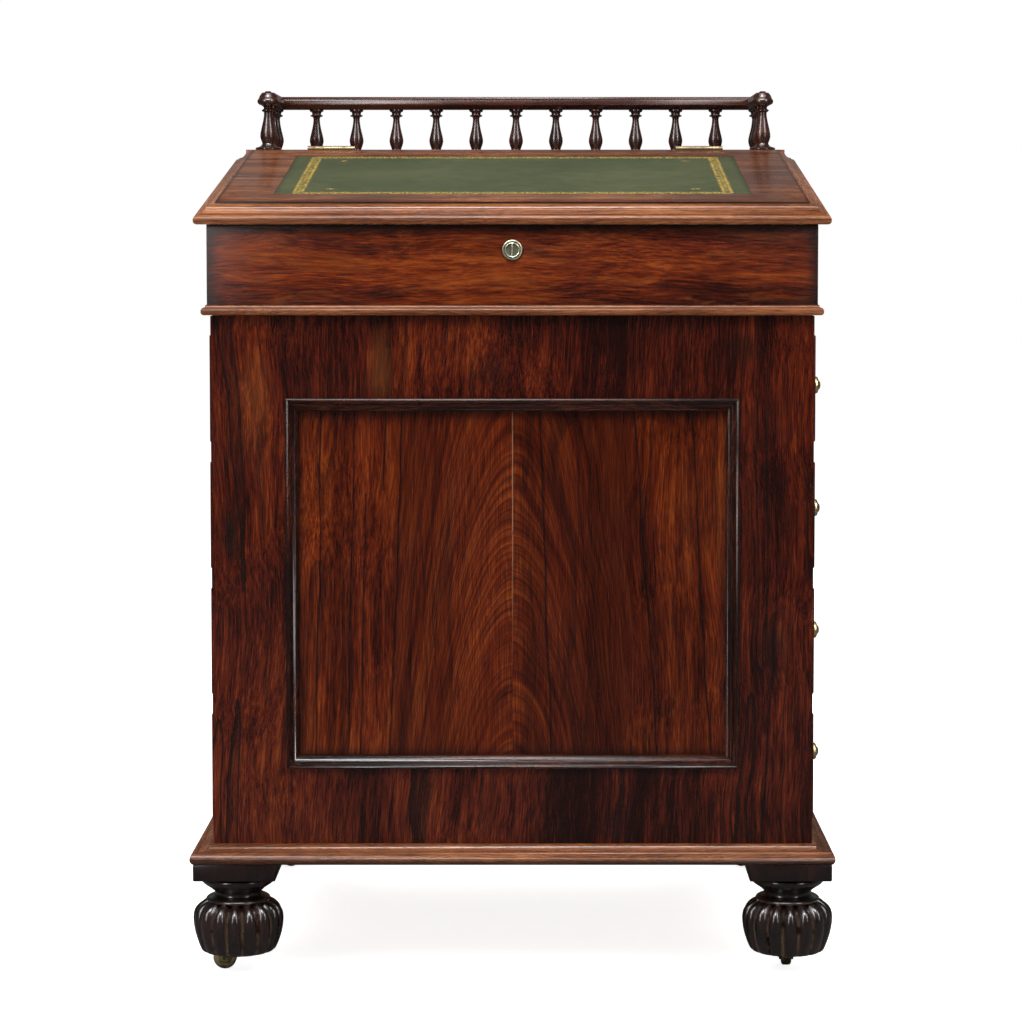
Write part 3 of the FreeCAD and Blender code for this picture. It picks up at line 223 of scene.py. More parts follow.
def turned_wood(name, wear_name=None, lift=0.0, coat=0.9, soft=0.0):
    """Near-black polished wood of the turnings, lighter where hands and dusters rub it."""
    finish = Finish(name)
    spot, grain = wood_figure(finish, "Z", (0.3, 0.1, 0.7), 2.2)
    broad, streak, fine, pores, vein = grain_layers(finish, grain)
    patch = finish.noise(spot, 26.0, 3.0, 0.6)
    colour = finish.ramp(broad * 0.5 + streak * 0.5 + fine * 0.3 + patch * 0.5 + (lift - 0.36), DARK_TONES)
    if wear_name:
        worn = finish.node("ShaderNodeAttribute", {"attribute_name": wear_name}, output="Fac")
        rubbed = worn * finish.between(finish.noise(spot, 90.0, 3.0, 0.65), 0.36, 0.56)
        colour = finish.mix(rubbed * 0.75, colour, (0.150, 0.098, 0.064))
    rough = patch * 0.16 + 0.18 + soft
    return finish.polish(Base_Color=colour, Roughness=rough, Normal=finish.bump(fine - pores, 0.0001, 0.45),
                         Specular_IOR_Level=0.3, Coat_Weight=coat, Coat_Roughness=0.14 + soft)


def plain_wood(name, along):
    """Unpolished lining wood: mahogany drawer sides and bottoms."""
    finish = Finish(name)
    spot, grain = wood_figure(finish, along, (0.6, 0.2, 0.4), 1.3)
    broad, streak, fine, pores, vein = grain_layers(finish, grain)
    colour = finish.ramp(broad * 0.6 + streak * 0.5 + fine * 0.5 - 0.3, PLAIN_TONES)
    stain = finish.between(finish.noise(spot, 6.0, 4.0, 0.6), 0.5, 0.75)
    colour = finish.mix(pores * 0.45 + stain * 0.2, colour, (0.055, 0.024, 0.013))
    return finish.polish(Base_Color=colour, Roughness=fine * 0.2 + 0.5,
                         Normal=finish.bump(fine - pores, 0.0002, 0.6), Specular_IOR_Level=0.3)


# ---------------------------------------------------------------- brass and leather
LEATHER_TONES = ((0.3, (0.0250, 0.0315, 0.0120)), (0.5, (0.0370, 0.0440, 0.0180)), (0.7, (0.0540, 0.0600, 0.0260)))


def brass(name, dull=0.0, clean=(0.50, 0.36, 0.155), dark=(0.115, 0.088, 0.052)):
    """Old lacquered brass, darker and greener in its tarnish."""
    finish = Finish(name)
    spot = finish.spot()
    patch = finish.noise(spot, 85.0, 4.0, 0.6)
    scratch = finish.noise(finish.scaled(spot, (900.0, 900.0, 120.0)), 1.0, 2.0)
    tarnish = finish.between(patch, 0.42, 0.68)
    colour = finish.mix(tarnish * (0.55 + dull * 0.4), clean, dark)
    rough = tarnish * 0.22 + scratch * 0.10 + 0.20 + dull * 0.15
    return finish.polish(Base_Color=colour, Roughness=rough, Metallic=1.0,
                         Normal=finish.bump(scratch + patch, 0.00006, 0.35))


def gilt_leather(name, centre, half_wide, half_long, slope):
    """Green hide with a gilt tooled border, worn; the border follows the leather's own plane."""
    finish = Finish(name)
    turn = Matrix.Rotation(-slope, 3, "X")
    shift = turn @ Vector(centre) * -1.0
    flat = finish.node("ShaderNodeMapping", {"vector_type": "POINT"},
                       {"Vector": finish.spot(), "Location": tuple(shift), "Rotation": (-slope, 0.0, 0.0)})
    x, y, z = finish.parts(flat)
    inset_x, inset_y = half_wide - abs(x), half_long - abs(y)
    side_off, end_off = inset_x - 24 * MM, inset_y - 15.5 * MM
    at_side = side_off.math("LESS_THAN", end_off)
    inset = inset_x.math("MINIMUM", inset_y)
    off = side_off.math("MINIMUM", end_off)
    run = finish.node("ShaderNodeMix", {"data_type": "FLOAT"}, {0: at_side, 2: abs(x), 3: abs(y)})
    step = run.math("PINGPONG", 6.2 * MM)

    def away(from_step, from_off, wide=1.0):
        return finish.node("ShaderNodeVectorMath", {"operation": "LENGTH"}, {0: finish.vector(
            (step - from_step * MM) * wide, abs(off) - from_off * MM, 0.0)}, output="Value")

    rings = finish.between(abs(away(6.2, 0.0) - 4.1 * MM), 1.5 * MM, 0.7 * MM)
    dots = finish.between(away(6.2, 0.0), 1.9 * MM, 1.1 * MM)
    sprigs = finish.between(away(0.6, 4.6, 0.7), 2.1 * MM, 1.2 * MM)
    pattern = rings.math("MAXIMUM", dots).math("MAXIMUM", sprigs)
    # a small flower inside each corner
    near_x, near_y = abs(inset_x - 56.0 * MM), abs(inset_y - 42.0 * MM)
    flower = finish.node("ShaderNodeVectorMath", {"operation": "LENGTH"},
                         {0: finish.vector(near_x * 0.55, near_y, 0.0)}, output="Value")
    pattern = pattern.math("MAXIMUM", finish.between(flower, 3.2 * MM, 2.4 * MM))
    rub = finish.between(finish.noise(finish.spot(), 240.0, 4.0, 0.7), 0.40, 0.58)
    gold = pattern * rub
    pebbles = finish.node("ShaderNodeTexVoronoi", {"feature": "DISTANCE_TO_EDGE"},
                          {"Vector": finish.spot(), "Scale": 950.0}, output="Distance")
    cloud = finish.noise(finish.spot(), 7.0, 4.0, 0.6)
    speck = finish.between(finish.noise(finish.spot(), 330.0, 2.0), 0.66, 0.74)
    green = finish.ramp(cloud * 0.7 + finish.noise(finish.spot(), 60.0, 3.0) * 0.3,
                        LEATHER_TONES)
    edge_dark = finish.between(inset, 7.0 * MM, 0.0)
    green = finish.mix(edge_dark * 0.45, green, (0.012, 0.013, 0.007))
    green = finish.mix(speck * 0.35, green, (0.16, 0.16, 0.11))
    colour = finish.mix(gold, green, (0.52, 0.33, 0.055))
    rough = cloud * 0.16 + 0.42 - gold * 0.18
    height = finish.between(pebbles, 0.0, 0.12) * 0.6 - pattern * 0.9
    return finish.polish(Base_Color=colour, Roughness=rough, Metallic=gold * 0.35,
                         Normal=finish.bump(height, 0.00012, 0.6), Specular_IOR_Level=0.25)


# ---------------------------------------------------------------- shaping
SAME_POINT = 0.00002
FLAT = math.radians(0.6)
ARRIS_SHARE = 0.62    # a face broader than this share of the rounding's width is no arris


def alone(piece):
    """Only this piece is selected and active."""
    bpy.ops.object.select_all(action="DESELECT")
    piece.select_set(True)
    bpy.context.view_layer.objects.active = piece


def pick(piece, test, kind="verts"):
    """In edit mode, select what passes a test and nothing else."""
    bpy.ops.mesh.select_all(action="DESELECT")
    mesh = bmesh.from_edit_mesh(piece.data)
    for part in getattr(mesh, kind):
        if test(part):
            part.select_set(True)
    mesh.select_flush_mode()
    bmesh.update_edit_mesh(piece.data)


def smooth(piece, angle=35):
    """Smooth shading, kept sharp where faces meet at more than an angle."""
    alone(piece)
    bpy.ops.object.shade_smooth_by_angle(angle=math.radians(angle))


def settle(piece, name):
    """Place and turn go into the mesh, and the origin back to the frame's."""
    alone(piece)
    bpy.ops.object.transform_apply(location=True, rotation=True, scale=True)
    piece.name = piece.data.name = name
    return piece


def turned(name, outline, place=(0, 0, 0), sides=40, tilt=(0, 0, 0)):
    """A turning from its outline of (radius, height) in mm, drawn out row by row from its lower end."""
    bpy.ops.object.select_all(action="DESELECT")
    radius, low = outline[0]
    bpy.ops.mesh.primitive_circle_add(vertices=sides, radius=radius * MM, fill_type="NGON", location=(0, 0, low * MM))
    piece = bpy.context.object
    bpy.ops.object.mode_set(mode="EDIT")
    bpy.ops.mesh.select_all(action="SELECT")
    for (before, start), (after, stop) in zip(outline, outline[1:]):
        bpy.ops.mesh.extrude_region_move(TRANSFORM_OT_translate={"value": (0, 0, (stop - start) * MM)})
        grow = after / before
        bpy.ops.transform.resize(value=(grow, grow, 1), center_override=(0, 0, stop * MM))
    bpy.ops.mesh.select_all(action="SELECT")
    bpy.ops.mesh.normals_make_consistent(inside=False)
    bpy.ops.object.mode_set(mode="OBJECT")
    alone(piece)
    bpy.ops.object.transform_apply(location=True, rotation=True, scale=True)
    piece.rotation_euler = tilt
    piece.location = place
    smooth(piece)
    return settle(piece, name)


def copied(piece, name, shift):
    """A copy with its own mesh, moved by a shift."""
    twin = bpy.data.objects.new(name, piece.data.copy())
    bpy.context.scene.collection.objects.link(twin)
    twin.location = shift
    return settle(twin, name)


def joined(pieces, name):
    """Several pieces made one."""
    alone(pieces[0])
    for piece in pieces[1:]:
        piece.select_set(True)
    bpy.ops.object.join()
    pieces[0].name = pieces[0].data.name = name
    return pieces[0]


def modified(piece, kind, **settings):
    """Add a modifier and apply it."""
    alone(piece)
    modifier = piece.modifiers.new(kind.lower(), kind)
    for key, value in settings.items():
        setattr(modifier, key, value)
    bpy.ops.object.modifier_apply(modifier=modifier.name)
    return piece


def eased(node, width, angle=28, shade=32, rimmed=False, merge=0.0):
    """A merged copy of a CAD piece with its arrises rounded; a rimmed one has its ring faces split first.

    The width and the merge after rounding are in mm, the angles in degrees.
    """
    piece = bpy.data.objects.new(node + "_eased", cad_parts[node].data.copy())
    bpy.context.scene.collection.objects.link(piece)
    piece.data.materials.clear()
    alone(piece)
    bpy.ops.object.mode_set(mode="EDIT")
    bpy.ops.mesh.select_all(action="SELECT")
    bpy.ops.mesh.remove_doubles(threshold=SAME_POINT)
    bpy.ops.mesh.dissolve_limited(angle_limit=FLAT)
    bpy.ops.mesh.select_mode(type="FACE")
    pick(piece, lambda face: all(len(edge.link_faces) > 2 for edge in face.edges), "faces")
    bpy.ops.mesh.delete(type="FACE")
    bpy.ops.mesh.select_mode(type="VERT")
    bpy.ops.mesh.select_all(action="SELECT")
    bpy.ops.mesh.dissolve_limited(angle_limit=FLAT)
    if rimmed:
        bpy.ops.mesh.vert_connect_concave()
    bpy.ops.object.mode_set(mode="OBJECT")
    modified(piece, "BEVEL", width=width * MM, segments=2, limit_method="ANGLE",
             angle_limit=math.radians(angle), use_clamp_overlap=True, miter_outer="MITER_ARC")
    if merge:
        alone(piece)
        bpy.ops.object.mode_set(mode="EDIT")
        bpy.ops.mesh.select_all(action="SELECT")
        bpy.ops.mesh.remove_doubles(threshold=merge * MM)
        bpy.ops.object.mode_set(mode="OBJECT")
    mark_arrises(piece, width * MM)
    smooth(piece, shade)
    return settle(piece, node + "_eased")


def eased_moulding(node, width, merge=0.08):
    return eased(node, width, 24, 30, merge=merge)


def faced_about(piece, node, twin):
    """A copy of an eased piece turned half round, to stand for the same CAD piece on the other face."""
    copy = bpy.data.objects.new(twin + "_eased", piece.data.copy())
    bpy.context.scene.collection.objects.link(copy)
    near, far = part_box(node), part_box(twin)
    copy.rotation_euler.z = math.pi
    copy.location = (near[0].x + far[1].x, near[0].y + far[1].y, far[0].z - near[0].z)
    return settle(copy, twin + "_eased")


def mark_arrises(piece, width):
    """An attribute that is 1 along the middle of each rounded arris and 0 beside it."""
    broad = set()
    for face in piece.data.polygons:
        around = sum((piece.data.vertices[a].co - piece.data.vertices[b].co).length for a, b in face.edge_keys)
        if face.area > around / 2 * width * ARRIS_SHARE:
            broad.update(face.vertices)
    arris = piece.data.attributes.new("arris", "FLOAT", "POINT")
    for vertex in piece.data.vertices:
        arris.data[vertex.index].value = 0.0 if vertex.index in broad else 1.0


def dressed(piece, body, finishes, nodes=(), choose=None):
    """Give a piece its finishes and its body, and hide the CAD nodes that it stands for."""
    finishes = finishes if isinstance(finishes, (list, tuple)) else [finishes]
    piece.data.materials.clear()
    for finish in finishes:
        piece.data.materials.append(finish)
    if choose:
        for face in piece.data.polygons:
            face.material_index = choose(face.center)
    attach(piece, body)
    if nodes:
        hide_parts(*nodes)
    return piece


def recoat(node, finish):
    """A CAD node that stays gets its finish in its material slots."""
    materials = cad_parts[node].data.materials
    materials.clear()
    materials.append(finish)


# ---------------------------------------------------------------- the finishes of this desk
def edge_grime_and_shade(node, axes, reach, share):
    """A tint that darkens a board towards its edges, across the two named axes: grime, and painted shade where an edge
    lies under or against another part.
    """
    low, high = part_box(node)

    def tint(finish, spot, colour):
        gaps = [(high[axis] - low[axis]) / 2 - abs(finish.parts(spot)[axis] - (high[axis] + low[axis]) / 2)
                for axis in axes]
        gap = gaps[0].math("MINIMUM", gaps[1]) + (finish.noise(spot, 30.0, 3.0) - 0.5) * (reach * 0.8)
        # grime and painted shade together, darker the nearer the edge
        return finish.mix(finish.between(gap, reach, 0.0) * share, colour, (0.007, 0.0035, 0.0025))

    return tint


def under_shadow(finish, spot, colour):
    """Painted shade under the base moulding's nose: its lowest millimetres darkened towards black."""
    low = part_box("base_moulding")[0].z
    z = finish.parts(spot)[2] + (finish.noise(spot, 40.0, 3.0) - 0.5) * (3 * MM)
    return finish.mix(finish.between(z, low + 8 * MM, low + 3 * MM) * 0.8, colour, (0.014, 0.007, 0.005))


def box_figure(finish, spot, colour):
    """The writing box's front: warm flame towards the right, a painted shadow of the lid along its top, and edges
    darkened by grime and painted shade.
    """
    x, y, z = finish.parts(spot)
    flame = finish.noise(finish.vector(x * 9.0, 0.4, z * 40.0), 1.0, 4.0, 0.65, 1.6)
    colour = finish.mix(finish.between(flame, 0.48, 0.68) * 0.30, colour, (0.230, 0.055, 0.009))
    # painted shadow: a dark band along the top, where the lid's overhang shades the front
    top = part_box("box_front_board")[1].z
    colour = finish.mix(finish.between(z, top - 13 * MM, top - 3 * MM) * 0.8, colour, (0.004, 0.002, 0.0015))
    # its edges darker: grime, and painted shade under the lid
    return edge_grime_and_shade("box_front_board", (0, 2), 17 * MM, 0.85)(finish, spot, colour)


def frame_figure(finish, spot, colour):
    """The pedestal's front frame: knots and pale patches among its stripes."""
    x, y, z = finish.parts(spot)
    drift = finish.noise(spot, 22.0, 3.0, 0.6) - 0.5
    for place_x, place_z, wide, tall, tone, share in FRAME_PATCHES:
        spread = finish.node("ShaderNodeVectorMath", {"operation": "LENGTH"}, {0: finish.vector(
            (x - place_x) * (1 / wide) + drift * 1.6, 0.0, (z - place_z) * (1 / tall) + drift * 0.8)}, output="Value")
        colour = finish.mix(finish.between(spread, 1.2, 0.0) * share, colour, tone)
    return colour


KNOT, PALE_PATCH = (0.006, 0.003, 0.0025), (0.260, 0.085, 0.018)
# x, z, half width, half height, tone and share of each
FRAME_PATCHES = ((-0.286, 0.452, 0.016, 0.042, KNOT, 0.85), (-0.133, 0.622, 0.016, 0.050, PALE_PATCH, 0.16),
                 (-0.020, 0.618, 0.030, 0.020, KNOT, 0.5), (0.262, 0.335, 0.020, 0.050, KNOT, 0.6),
                 (-0.262, 0.590, 0.020, 0.060, PALE_PATCH, 0.12), (0.110, 0.150, 0.025, 0.030, KNOT, 0.5),
                 (0.235, 0.640, 0.030, 0.025, KNOT, 0.6))


def matched_figure(finish, spot, colour):
    """The front panel's two matched leaves: nested arches at the joint, straight strips beside them."""
    x, y, z = finish.parts(spot)
    drift = finish.noise(spot, 9.0, 2.0) - 0.5
    across = abs(x + drift * 0.010)
    arch = (z - 0.575) + (across ** 1.9) * 27.0 + drift * 0.035
    rings = finish.noise(finish.vector(arch * 13.0, z * 2.2, x.math("SIGN") * 1.3), 1.0, 3.0, 0.6)
    hairs = finish.noise(finish.vector(arch * 80.0, z * 8.0, x.math("SIGN") * 3.1), 1.0, 4.0, 0.7)
    threads = finish.noise(finish.scaled(spot, (1100.0, 1100.0, 30.0)), 1.0, 3.0, 0.65)
    leaf = finish.ramp(rings * 0.6 + hairs * 0.85 + threads * 0.78 - 0.575, MATCHED_TONES)
    growth = finish.node("ShaderNodeMath", {"operation": "FRACT"}, {0: arch * 105.0 + hairs * 0.9 + rings * 2.0})
    growth = finish.between(growth, 0.45, 0.92) * finish.between(growth, 1.0, 0.94)
    leaf = finish.mix(growth * finish.between(rings, 0.35, 0.6) * 0.55, leaf, (0.010, 0.0035, 0.002))
    middle = finish.between(across + drift * 0.012, 0.124, 0.112)
    strips = finish.ramp(x * 2.0 + 0.5 + drift * 0.012, STRIP_LIGHT)
    mixed = finish.mix(middle, colour, leaf)
    mixed = finish.mix(1.0, mixed, strips, "MULTIPLY")
    veins = None
    for top, foot, thick, jog in PANEL_VEINS:
        fall = (z - PANEL_MIDDLE) * ((top - foot) / PANEL_TALL)
        wobble = finish.noise(finish.vector(z * 9.0, top * 40.0, 0.3), 1.0, 3.0, 0.6) - 0.5
        gap = x - fall - (top + foot) / 2 + wobble * 0.010 + finish.between(z, 0.4965, 0.4925) * jog
        one = finish.between(gap, 0.0004 + thick, 0.0) * finish.between(gap, -0.0012, 0.0)
        veins = one if veins is None else veins.math("MAXIMUM", one)
    seam = finish.between(abs(x), 0.0008, 0.0002) * finish.between(z, 0.30, 0.48)
    mixed = finish.mix(veins * 0.85, mixed, BLACK_VEIN)
    mixed = finish.mix(seam * 0.55, mixed, (0.26, 0.15, 0.085))
    # painted shade: the panel darker along its edges, where it lies recessed behind its moulding
    edge = finish.between(across, 0.203, 0.2205).math("MAXIMUM", finish.between(abs(z - PANEL_MIDDLE), 0.163, 0.179))
    return finish.mix(edge * 0.55, mixed, (0.010, 0.004, 0.003))


MATCHED_TONES = ((0.22, (0.0098, 0.0015, 0.0006)), (0.40, (0.0333, 0.0041, 0.0010)), (0.54, (0.0666, 0.0082, 0.0016)),
                 (0.66, (0.0980, 0.0152, 0.0025)), (0.84, (0.1568, 0.0328, 0.0054)))
PANEL_MIDDLE, PANEL_TALL = 0.4014, 0.379
# light and dark strips of veneer across the panel: place from left to right, factor on the colour
STRIP_LIGHT = (
    (0.055, (1.35, 1.35, 1.2)), (0.105, (1.1, 1.15, 1.1)), (0.125, (0.8, 0.8, 0.8)), (0.21, (1.0, 0.95, 0.9)),
    (0.24, (0.8, 0.75, 0.7)), (0.34, (0.85, 0.8, 0.75)), (0.44, (1.15, 1.1, 1.0)), (0.505, (1.1, 1.1, 1.0)),
    (0.53, (0.65, 0.6, 0.55)), (0.60, (0.8, 0.7, 0.7)), (0.66, (0.55, 0.5, 0.5)), (0.74, (0.6, 0.55, 0.55)),
    (0.79, (0.85, 0.85, 0.8)), (0.87, (0.75, 0.75, 0.7)), (0.90, (1.0, 1.05, 0.9)), (0.95, (1.45, 1.5, 1.2)))
# x at the top, x at the foot, thickness, sideways jog of each black vein, in metres
PANEL_VEINS = ((-0.194, -0.203, 0.0016, 0.0), (-0.130, -0.137, 0.0020, 0.018), (-0.112, -0.127, 0.0024, 0.0),
               (0.122, 0.150, 0.0022, 0.0), (0.181, 0.203, 0.0018, 0.0), (0.026, 0.040, 0.0030, 0.0),
               (-0.161, -0.168, 0.0010, 0.0))


front_veneer = rosewood("front_veneer", "Z", (0.2, 0.5, 0.0), lift=-0.06, veins=0.85, tint=frame_figure)
matched_veneer = rosewood("matched_veneer", "Z", (0.7, 0.1, 0.4), tones=WARM_TONES, lift=-0.02, veins=0.5,
                          tint=matched_figure, sheen=0.2)
back_veneer = rosewood("back_veneer", "Z", (3.1, 0.4, 1.0), lift=-0.05)
side_veneer = rosewood("side_veneer", "Z", (2.3, 1.4, 0.3), lift=-0.04)
drawer_veneer = rosewood("drawer_veneer", "Y", (0.4, 0.9, 1.6), lift=-0.01)
box_veneer = rosewood("box_veneer", "X", (0.1, 0.3, 0.9), tones=WARM_TONES, veins=0.35, stretch=0.8, tint=box_figure)
box_back_veneer = rosewood("box_back_veneer", "X", (0.7, 0.3, 0.1), tones=WARM_TONES, lift=-0.03, veins=0.35)
box_side_veneer = rosewood("box_side_veneer", "Y", (0.5, 0.3, 0.2), tones=WARM_TONES, lift=-0.03, veins=0.35)
# the lid board's edges darkened against its moulding: grime and painted shade in the joint
lid_veneer = rosewood("lid_veneer", "X", (1.1, 0.8, 0.1), tones=RUBBED_AND_LIT_TONES, lift=-0.15, veins=0.4, gloss=0.28,
                      tint=edge_grime_and_shade("lid_board", (0, 1), 5 * MM, 0.8))
shelf_veneer = rosewood("shelf_veneer", "X", (0.4, 0.6, 0.9), tones=RUBBED_AND_LIT_TONES, lift=-0.12, veins=0.4, gloss=0.27)
STRIP = {"tones": DARK_TONES, "veins": 0.3, "gloss": 0.16, "sheen": 0.4}
strip_x = rosewood("panel_strip_lengthwise", "X", (0.8, 0.2, 2.0), lift=-0.04, wear_and_highlight=0.02, **STRIP)
strip_z = rosewood("panel_strip_upright", "Z", (0.1, 0.6, 0.9), lift=-0.02, wear_and_highlight=0.04, **STRIP)
# rubbed polish, and a painted reflection of the light from above
RUBBED_AND_LIT = {"tones": RUBBED_AND_LIT_TONES, "contrast": 0.8, "gloss": 0.22}
MOULDING = {"veins": 0.5, "wear_and_highlight": 0.18, "sheen": 0.45, "tint": under_shadow, **RUBBED_AND_LIT}
moulding_x = rosewood("moulding_lengthwise", "X", (0.8, 0.2, 2.0), lift=-0.06, **MOULDING)
moulding_y = rosewood("moulding_sideways", "Y", (0.3, 1.2, 0.5), lift=-0.10, **MOULDING)
BRIGHT = {"veins": 0.4, "wear_and_highlight": 0.4, "sheen": 0.5, **RUBBED_AND_LIT}
bright_x = rosewood("lid_edge_lengthwise", "X", (0.2, 0.7, 1.0), lift=0.03, **BRIGHT)
bright_y = rosewood("lid_edge_sideways", "Y", (0.9, 0.1, 0.6), lift=-0.04, **BRIGHT)
BEAD = {"veins": 0.4, "wear_and_highlight": 0.2, **RUBBED_AND_LIT}
bead_x = rosewood("bead_lengthwise", "X", (0.6, 0.3, 1.1), lift=-0.05, **BEAD)
bead_y = rosewood("bead_sideways", "Y", (0.2, 0.8, 0.6), lift=-0.08, **BEAD)
gallery_wood = turned_wood("gallery_wood", lift=0.11)
# the rail's lift and its broad arris lightening also paint in its highlight
rail_wood = rosewood("gallery_rail_wood", "X", (0.4, 0.1, 0.2), tones=DARK_TONES, lift=0.20, veins=0.3, gloss=0.24,
                     wear_and_highlight=0.7, sheen=0.6, contrast=0.9)
foot_wood = turned_wood("foot_wood", "worn", lift=-0.08, soft=0.03)
block_wood = turned_wood("block_wood", lift=-0.08, coat=0.25, soft=0.05)
lining_x = plain_wood("lining_lengthwise", "X")
lining_y = plain_wood("lining_sideways", "Y")
lining_z = plain_wood("lining_upright", "Z")
old_brass = brass("old_brass", 0.0, (0.62, 0.47, 0.23), (0.20, 0.155, 0.085))
wheel_brass = brass("wheel_brass", 0.0, (0.85, 0.68, 0.36), (0.34, 0.27, 0.14))
pale_brass = brass("pale_brass", 0.4, (0.40, 0.39, 0.28), (0.11, 0.11, 0.075))
hinge_brass = brass("hinge_brass", 1.0, (0.26, 0.20, 0.12), (0.10, 0.070, 0.045))


# ---------------------------------------------------------------- feet
LOBES = 16
PER_LOBE = 8
CHANNEL_DEPTH = 0.150
SWELL = ((0.0, 36.6), (1.6, 38.2), (5.0, 40.0), (10.0, 42.1), (18.0, 44.6), (26.0, 46.2), (33.0, 46.8), (38.0, 46.5),
         (42.0, 45.3), (45.5, 43.3), (48.5, 40.4), (51.0, 36.9), (53.0, 33.0), (56.0, 28.6), (61.0, 25.5))
LOBE_ROWS = (0.0, 1.2, 3.2, 7.0, 12.0, 18.0, 24.0, 30.0, 35.0, 39.0, 42.0, 44.6, 46.6, 48.4, 49.9, 51.2, 52.1)
FOOT_TURNING = ((31.2, 52.6), (32.2, 53.0), (32.9, 53.7), (32.9, 54.7), (32.2, 55.7), (30.4, 56.7), (27.8, 57.5),
                (25.6, 58.1), (24.6, 58.9), (24.2, 60.4), (24.3, 62.2), (25.0, 63.4), (26.6, 63.8), (27.0, 64.6),
                (28.6, 66.0), (31.4, 67.8), (34.6, 69.8), (37.0, 72.0), (38.4, 74.6), (38.6, 79.6))


def swell_at(height):
    """Radius of the bun at a height, both in mm."""
    for (low, near), (high, far) in zip(SWELL, SWELL[1:]):
        if height <= high:
            return near + (far - near) * (height - low) / (high - low)
    return SWELL[-1][1]


def across_lobe(vertex):
    """Steps of a vertex from its lobe's crest, counted one way round."""
    turn = (math.degrees(math.atan2(vertex.co.y, vertex.co.x)) + 90) % 360 / (360 / (LOBES * PER_LOBE))
    return round(turn) % PER_LOBE


def carve_foot():
    """Turn the bun, then draw in the channels row by row; their upper ends arch under the ring."""
    outline = [(29.0, 27.4), (29.0, 0.8), (30.0, 0.0), (34.6, 0.0)]
    outline += [(swell_at(row), row) for row in LOBE_ROWS[1:]] + list(FOOT_TURNING)
    foot = turned("foot_pattern", outline, sides=LOBES * PER_LOBE)
    alone(foot)
    bpy.ops.object.mode_set(mode="EDIT")
    half = PER_LOBE // 2
    for row in LOBE_ROWS[1:]:
        for step in range(1, half + 1):
            share = step / half
            drop = CHANNEL_DEPTH * (1 - math.sqrt(max(0.0, 1 - share ** 2 * 0.985))) / 0.878
            sink = 5.5 * share ** 2
            factor = swell_at(row + sink) / swell_at(row) * (1 - drop)

            def in_channel(vertex):
                off = across_lobe(vertex)
                return (min(off, PER_LOBE - off) == step and abs(vertex.co.z - row * MM) < 0.0002
                        and math.hypot(vertex.co.x, vertex.co.y) > 0.0305)

            pick(foot, in_channel)
            bpy.ops.transform.resize(value=(factor, factor, 1), center_override=(0, 0, row * MM))
    bpy.ops.object.mode_set(mode="OBJECT")
    creases = foot.data.attributes.new("crease_edge", "FLOAT", "EDGE")
    worn = foot.data.attributes.new("worn", "FLOAT", "POINT")
    for vertex in foot.data.vertices:
        reach, high = math.hypot(vertex.co.x, vertex.co.y), vertex.co.z / MM
        lobed = 0.5 < high < 52.4 and reach > 0.0305
        rim = 52.9 < high < 53.9 and reach > 0.0300
        worn.data[vertex.index].value = 1.0 if lobed and across_lobe(vertex) == half else 0.8 if rim else 0.0
    for edge in foot.data.edges:
        ends = [foot.data.vertices[v] for v in edge.vertices]
        marks = [worn.data[v].value for v in edge.vertices]
        upright = abs(ends[0].co.z - ends[1].co.z) > 0.0005
        if upright and min(marks) > 0.9:
            creases.data[edge.index].value = 0.85
    modified(foot, "SUBSURF", levels=1, render_levels=1)
    smooth(foot, 50)
    return foot


foot_pattern = carve_foot()
for corner in ("front_left", "front_right", "rear_left", "rear_right"):
    low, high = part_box(f"foot_{corner}")
    foot = copied(foot_pattern, f"lobed_foot_{corner}", ((low.x + high.x) / 2, (low.y + high.y) / 2, low.z))
    dressed(foot, "pedestal", foot_wood, [f"foot_{corner}"])
    for part, width, finish in (("castor_wheel", 0.9, wheel_brass), ("castor_fork", 0.35, old_brass)):
        piece = eased(f"{part}_{corner}", width, 40, 40)
        dressed(piece, f"{part}_{corner}", finish, [f"{part}_{corner}"])
bpy.data.objects.remove(foot_pattern)


# ---------------------------------------------------------------- gallery
BALUSTER = ((6.6, 0), (7.2, 0.6), (7.2, 1.6), (6.6, 2.4), (5.9, 3.2), (5.7, 4.4), (6.2, 6.2), (7.3, 9.0), (8.05, 12.0),
            (8.3, 14.2), (8.0, 17.0), (7.1, 21.0), (5.95, 25.5), (4.95, 30.0), (4.2, 34.5), (3.8, 38.6), (3.9, 41.0),
            (4.6, 42.4), (6.9, 43.0), (7.7, 43.8), (7.0, 44.6), (5.5, 45.1), (5.2, 46.4), (5.8, 48.0), (7.5, 48.7),
            (8.2, 49.6), (8.2, 51.2))
POST = ((13.9, 0), (14.8, 0.9), (14.8, 2.0), (13.6, 3.0), (10.8, 3.6), (8.9, 4.6), (7.4, 6.2), (6.9, 7.6), (7.6, 9.6),
        (8.7, 12.6), (9.3, 15.6), (9.1, 19.0), (8.1, 24.0), (6.8, 29.5), (5.6, 35.0), (4.9, 40.0), (4.8, 43.0),
        (6.2, 44.1), (7.4, 45.0), (7.4, 45.9), (6.0, 46.8), (5.0, 47.8), (5.2, 49.2), (7.2, 51.0), (10.0, 52.1),
        (11.8, 53.5), (12.4, 55.4), (12.2, 57.2), (11.0, 58.9), (9.0, 60.0), (8.5, 60.9), (8.1, 62.4), (7.2, 64.2),
        (5.9, 65.5), (4.5, 66.1), (3.9, 66.4), (3.2, 67.3), (1.8, 67.7))
SHELF_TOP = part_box("shelf_board")[1].z
POST_X, POST_Y, REAR_Y = 284.7 * MM, 146.7 * MM, 255.5 * MM

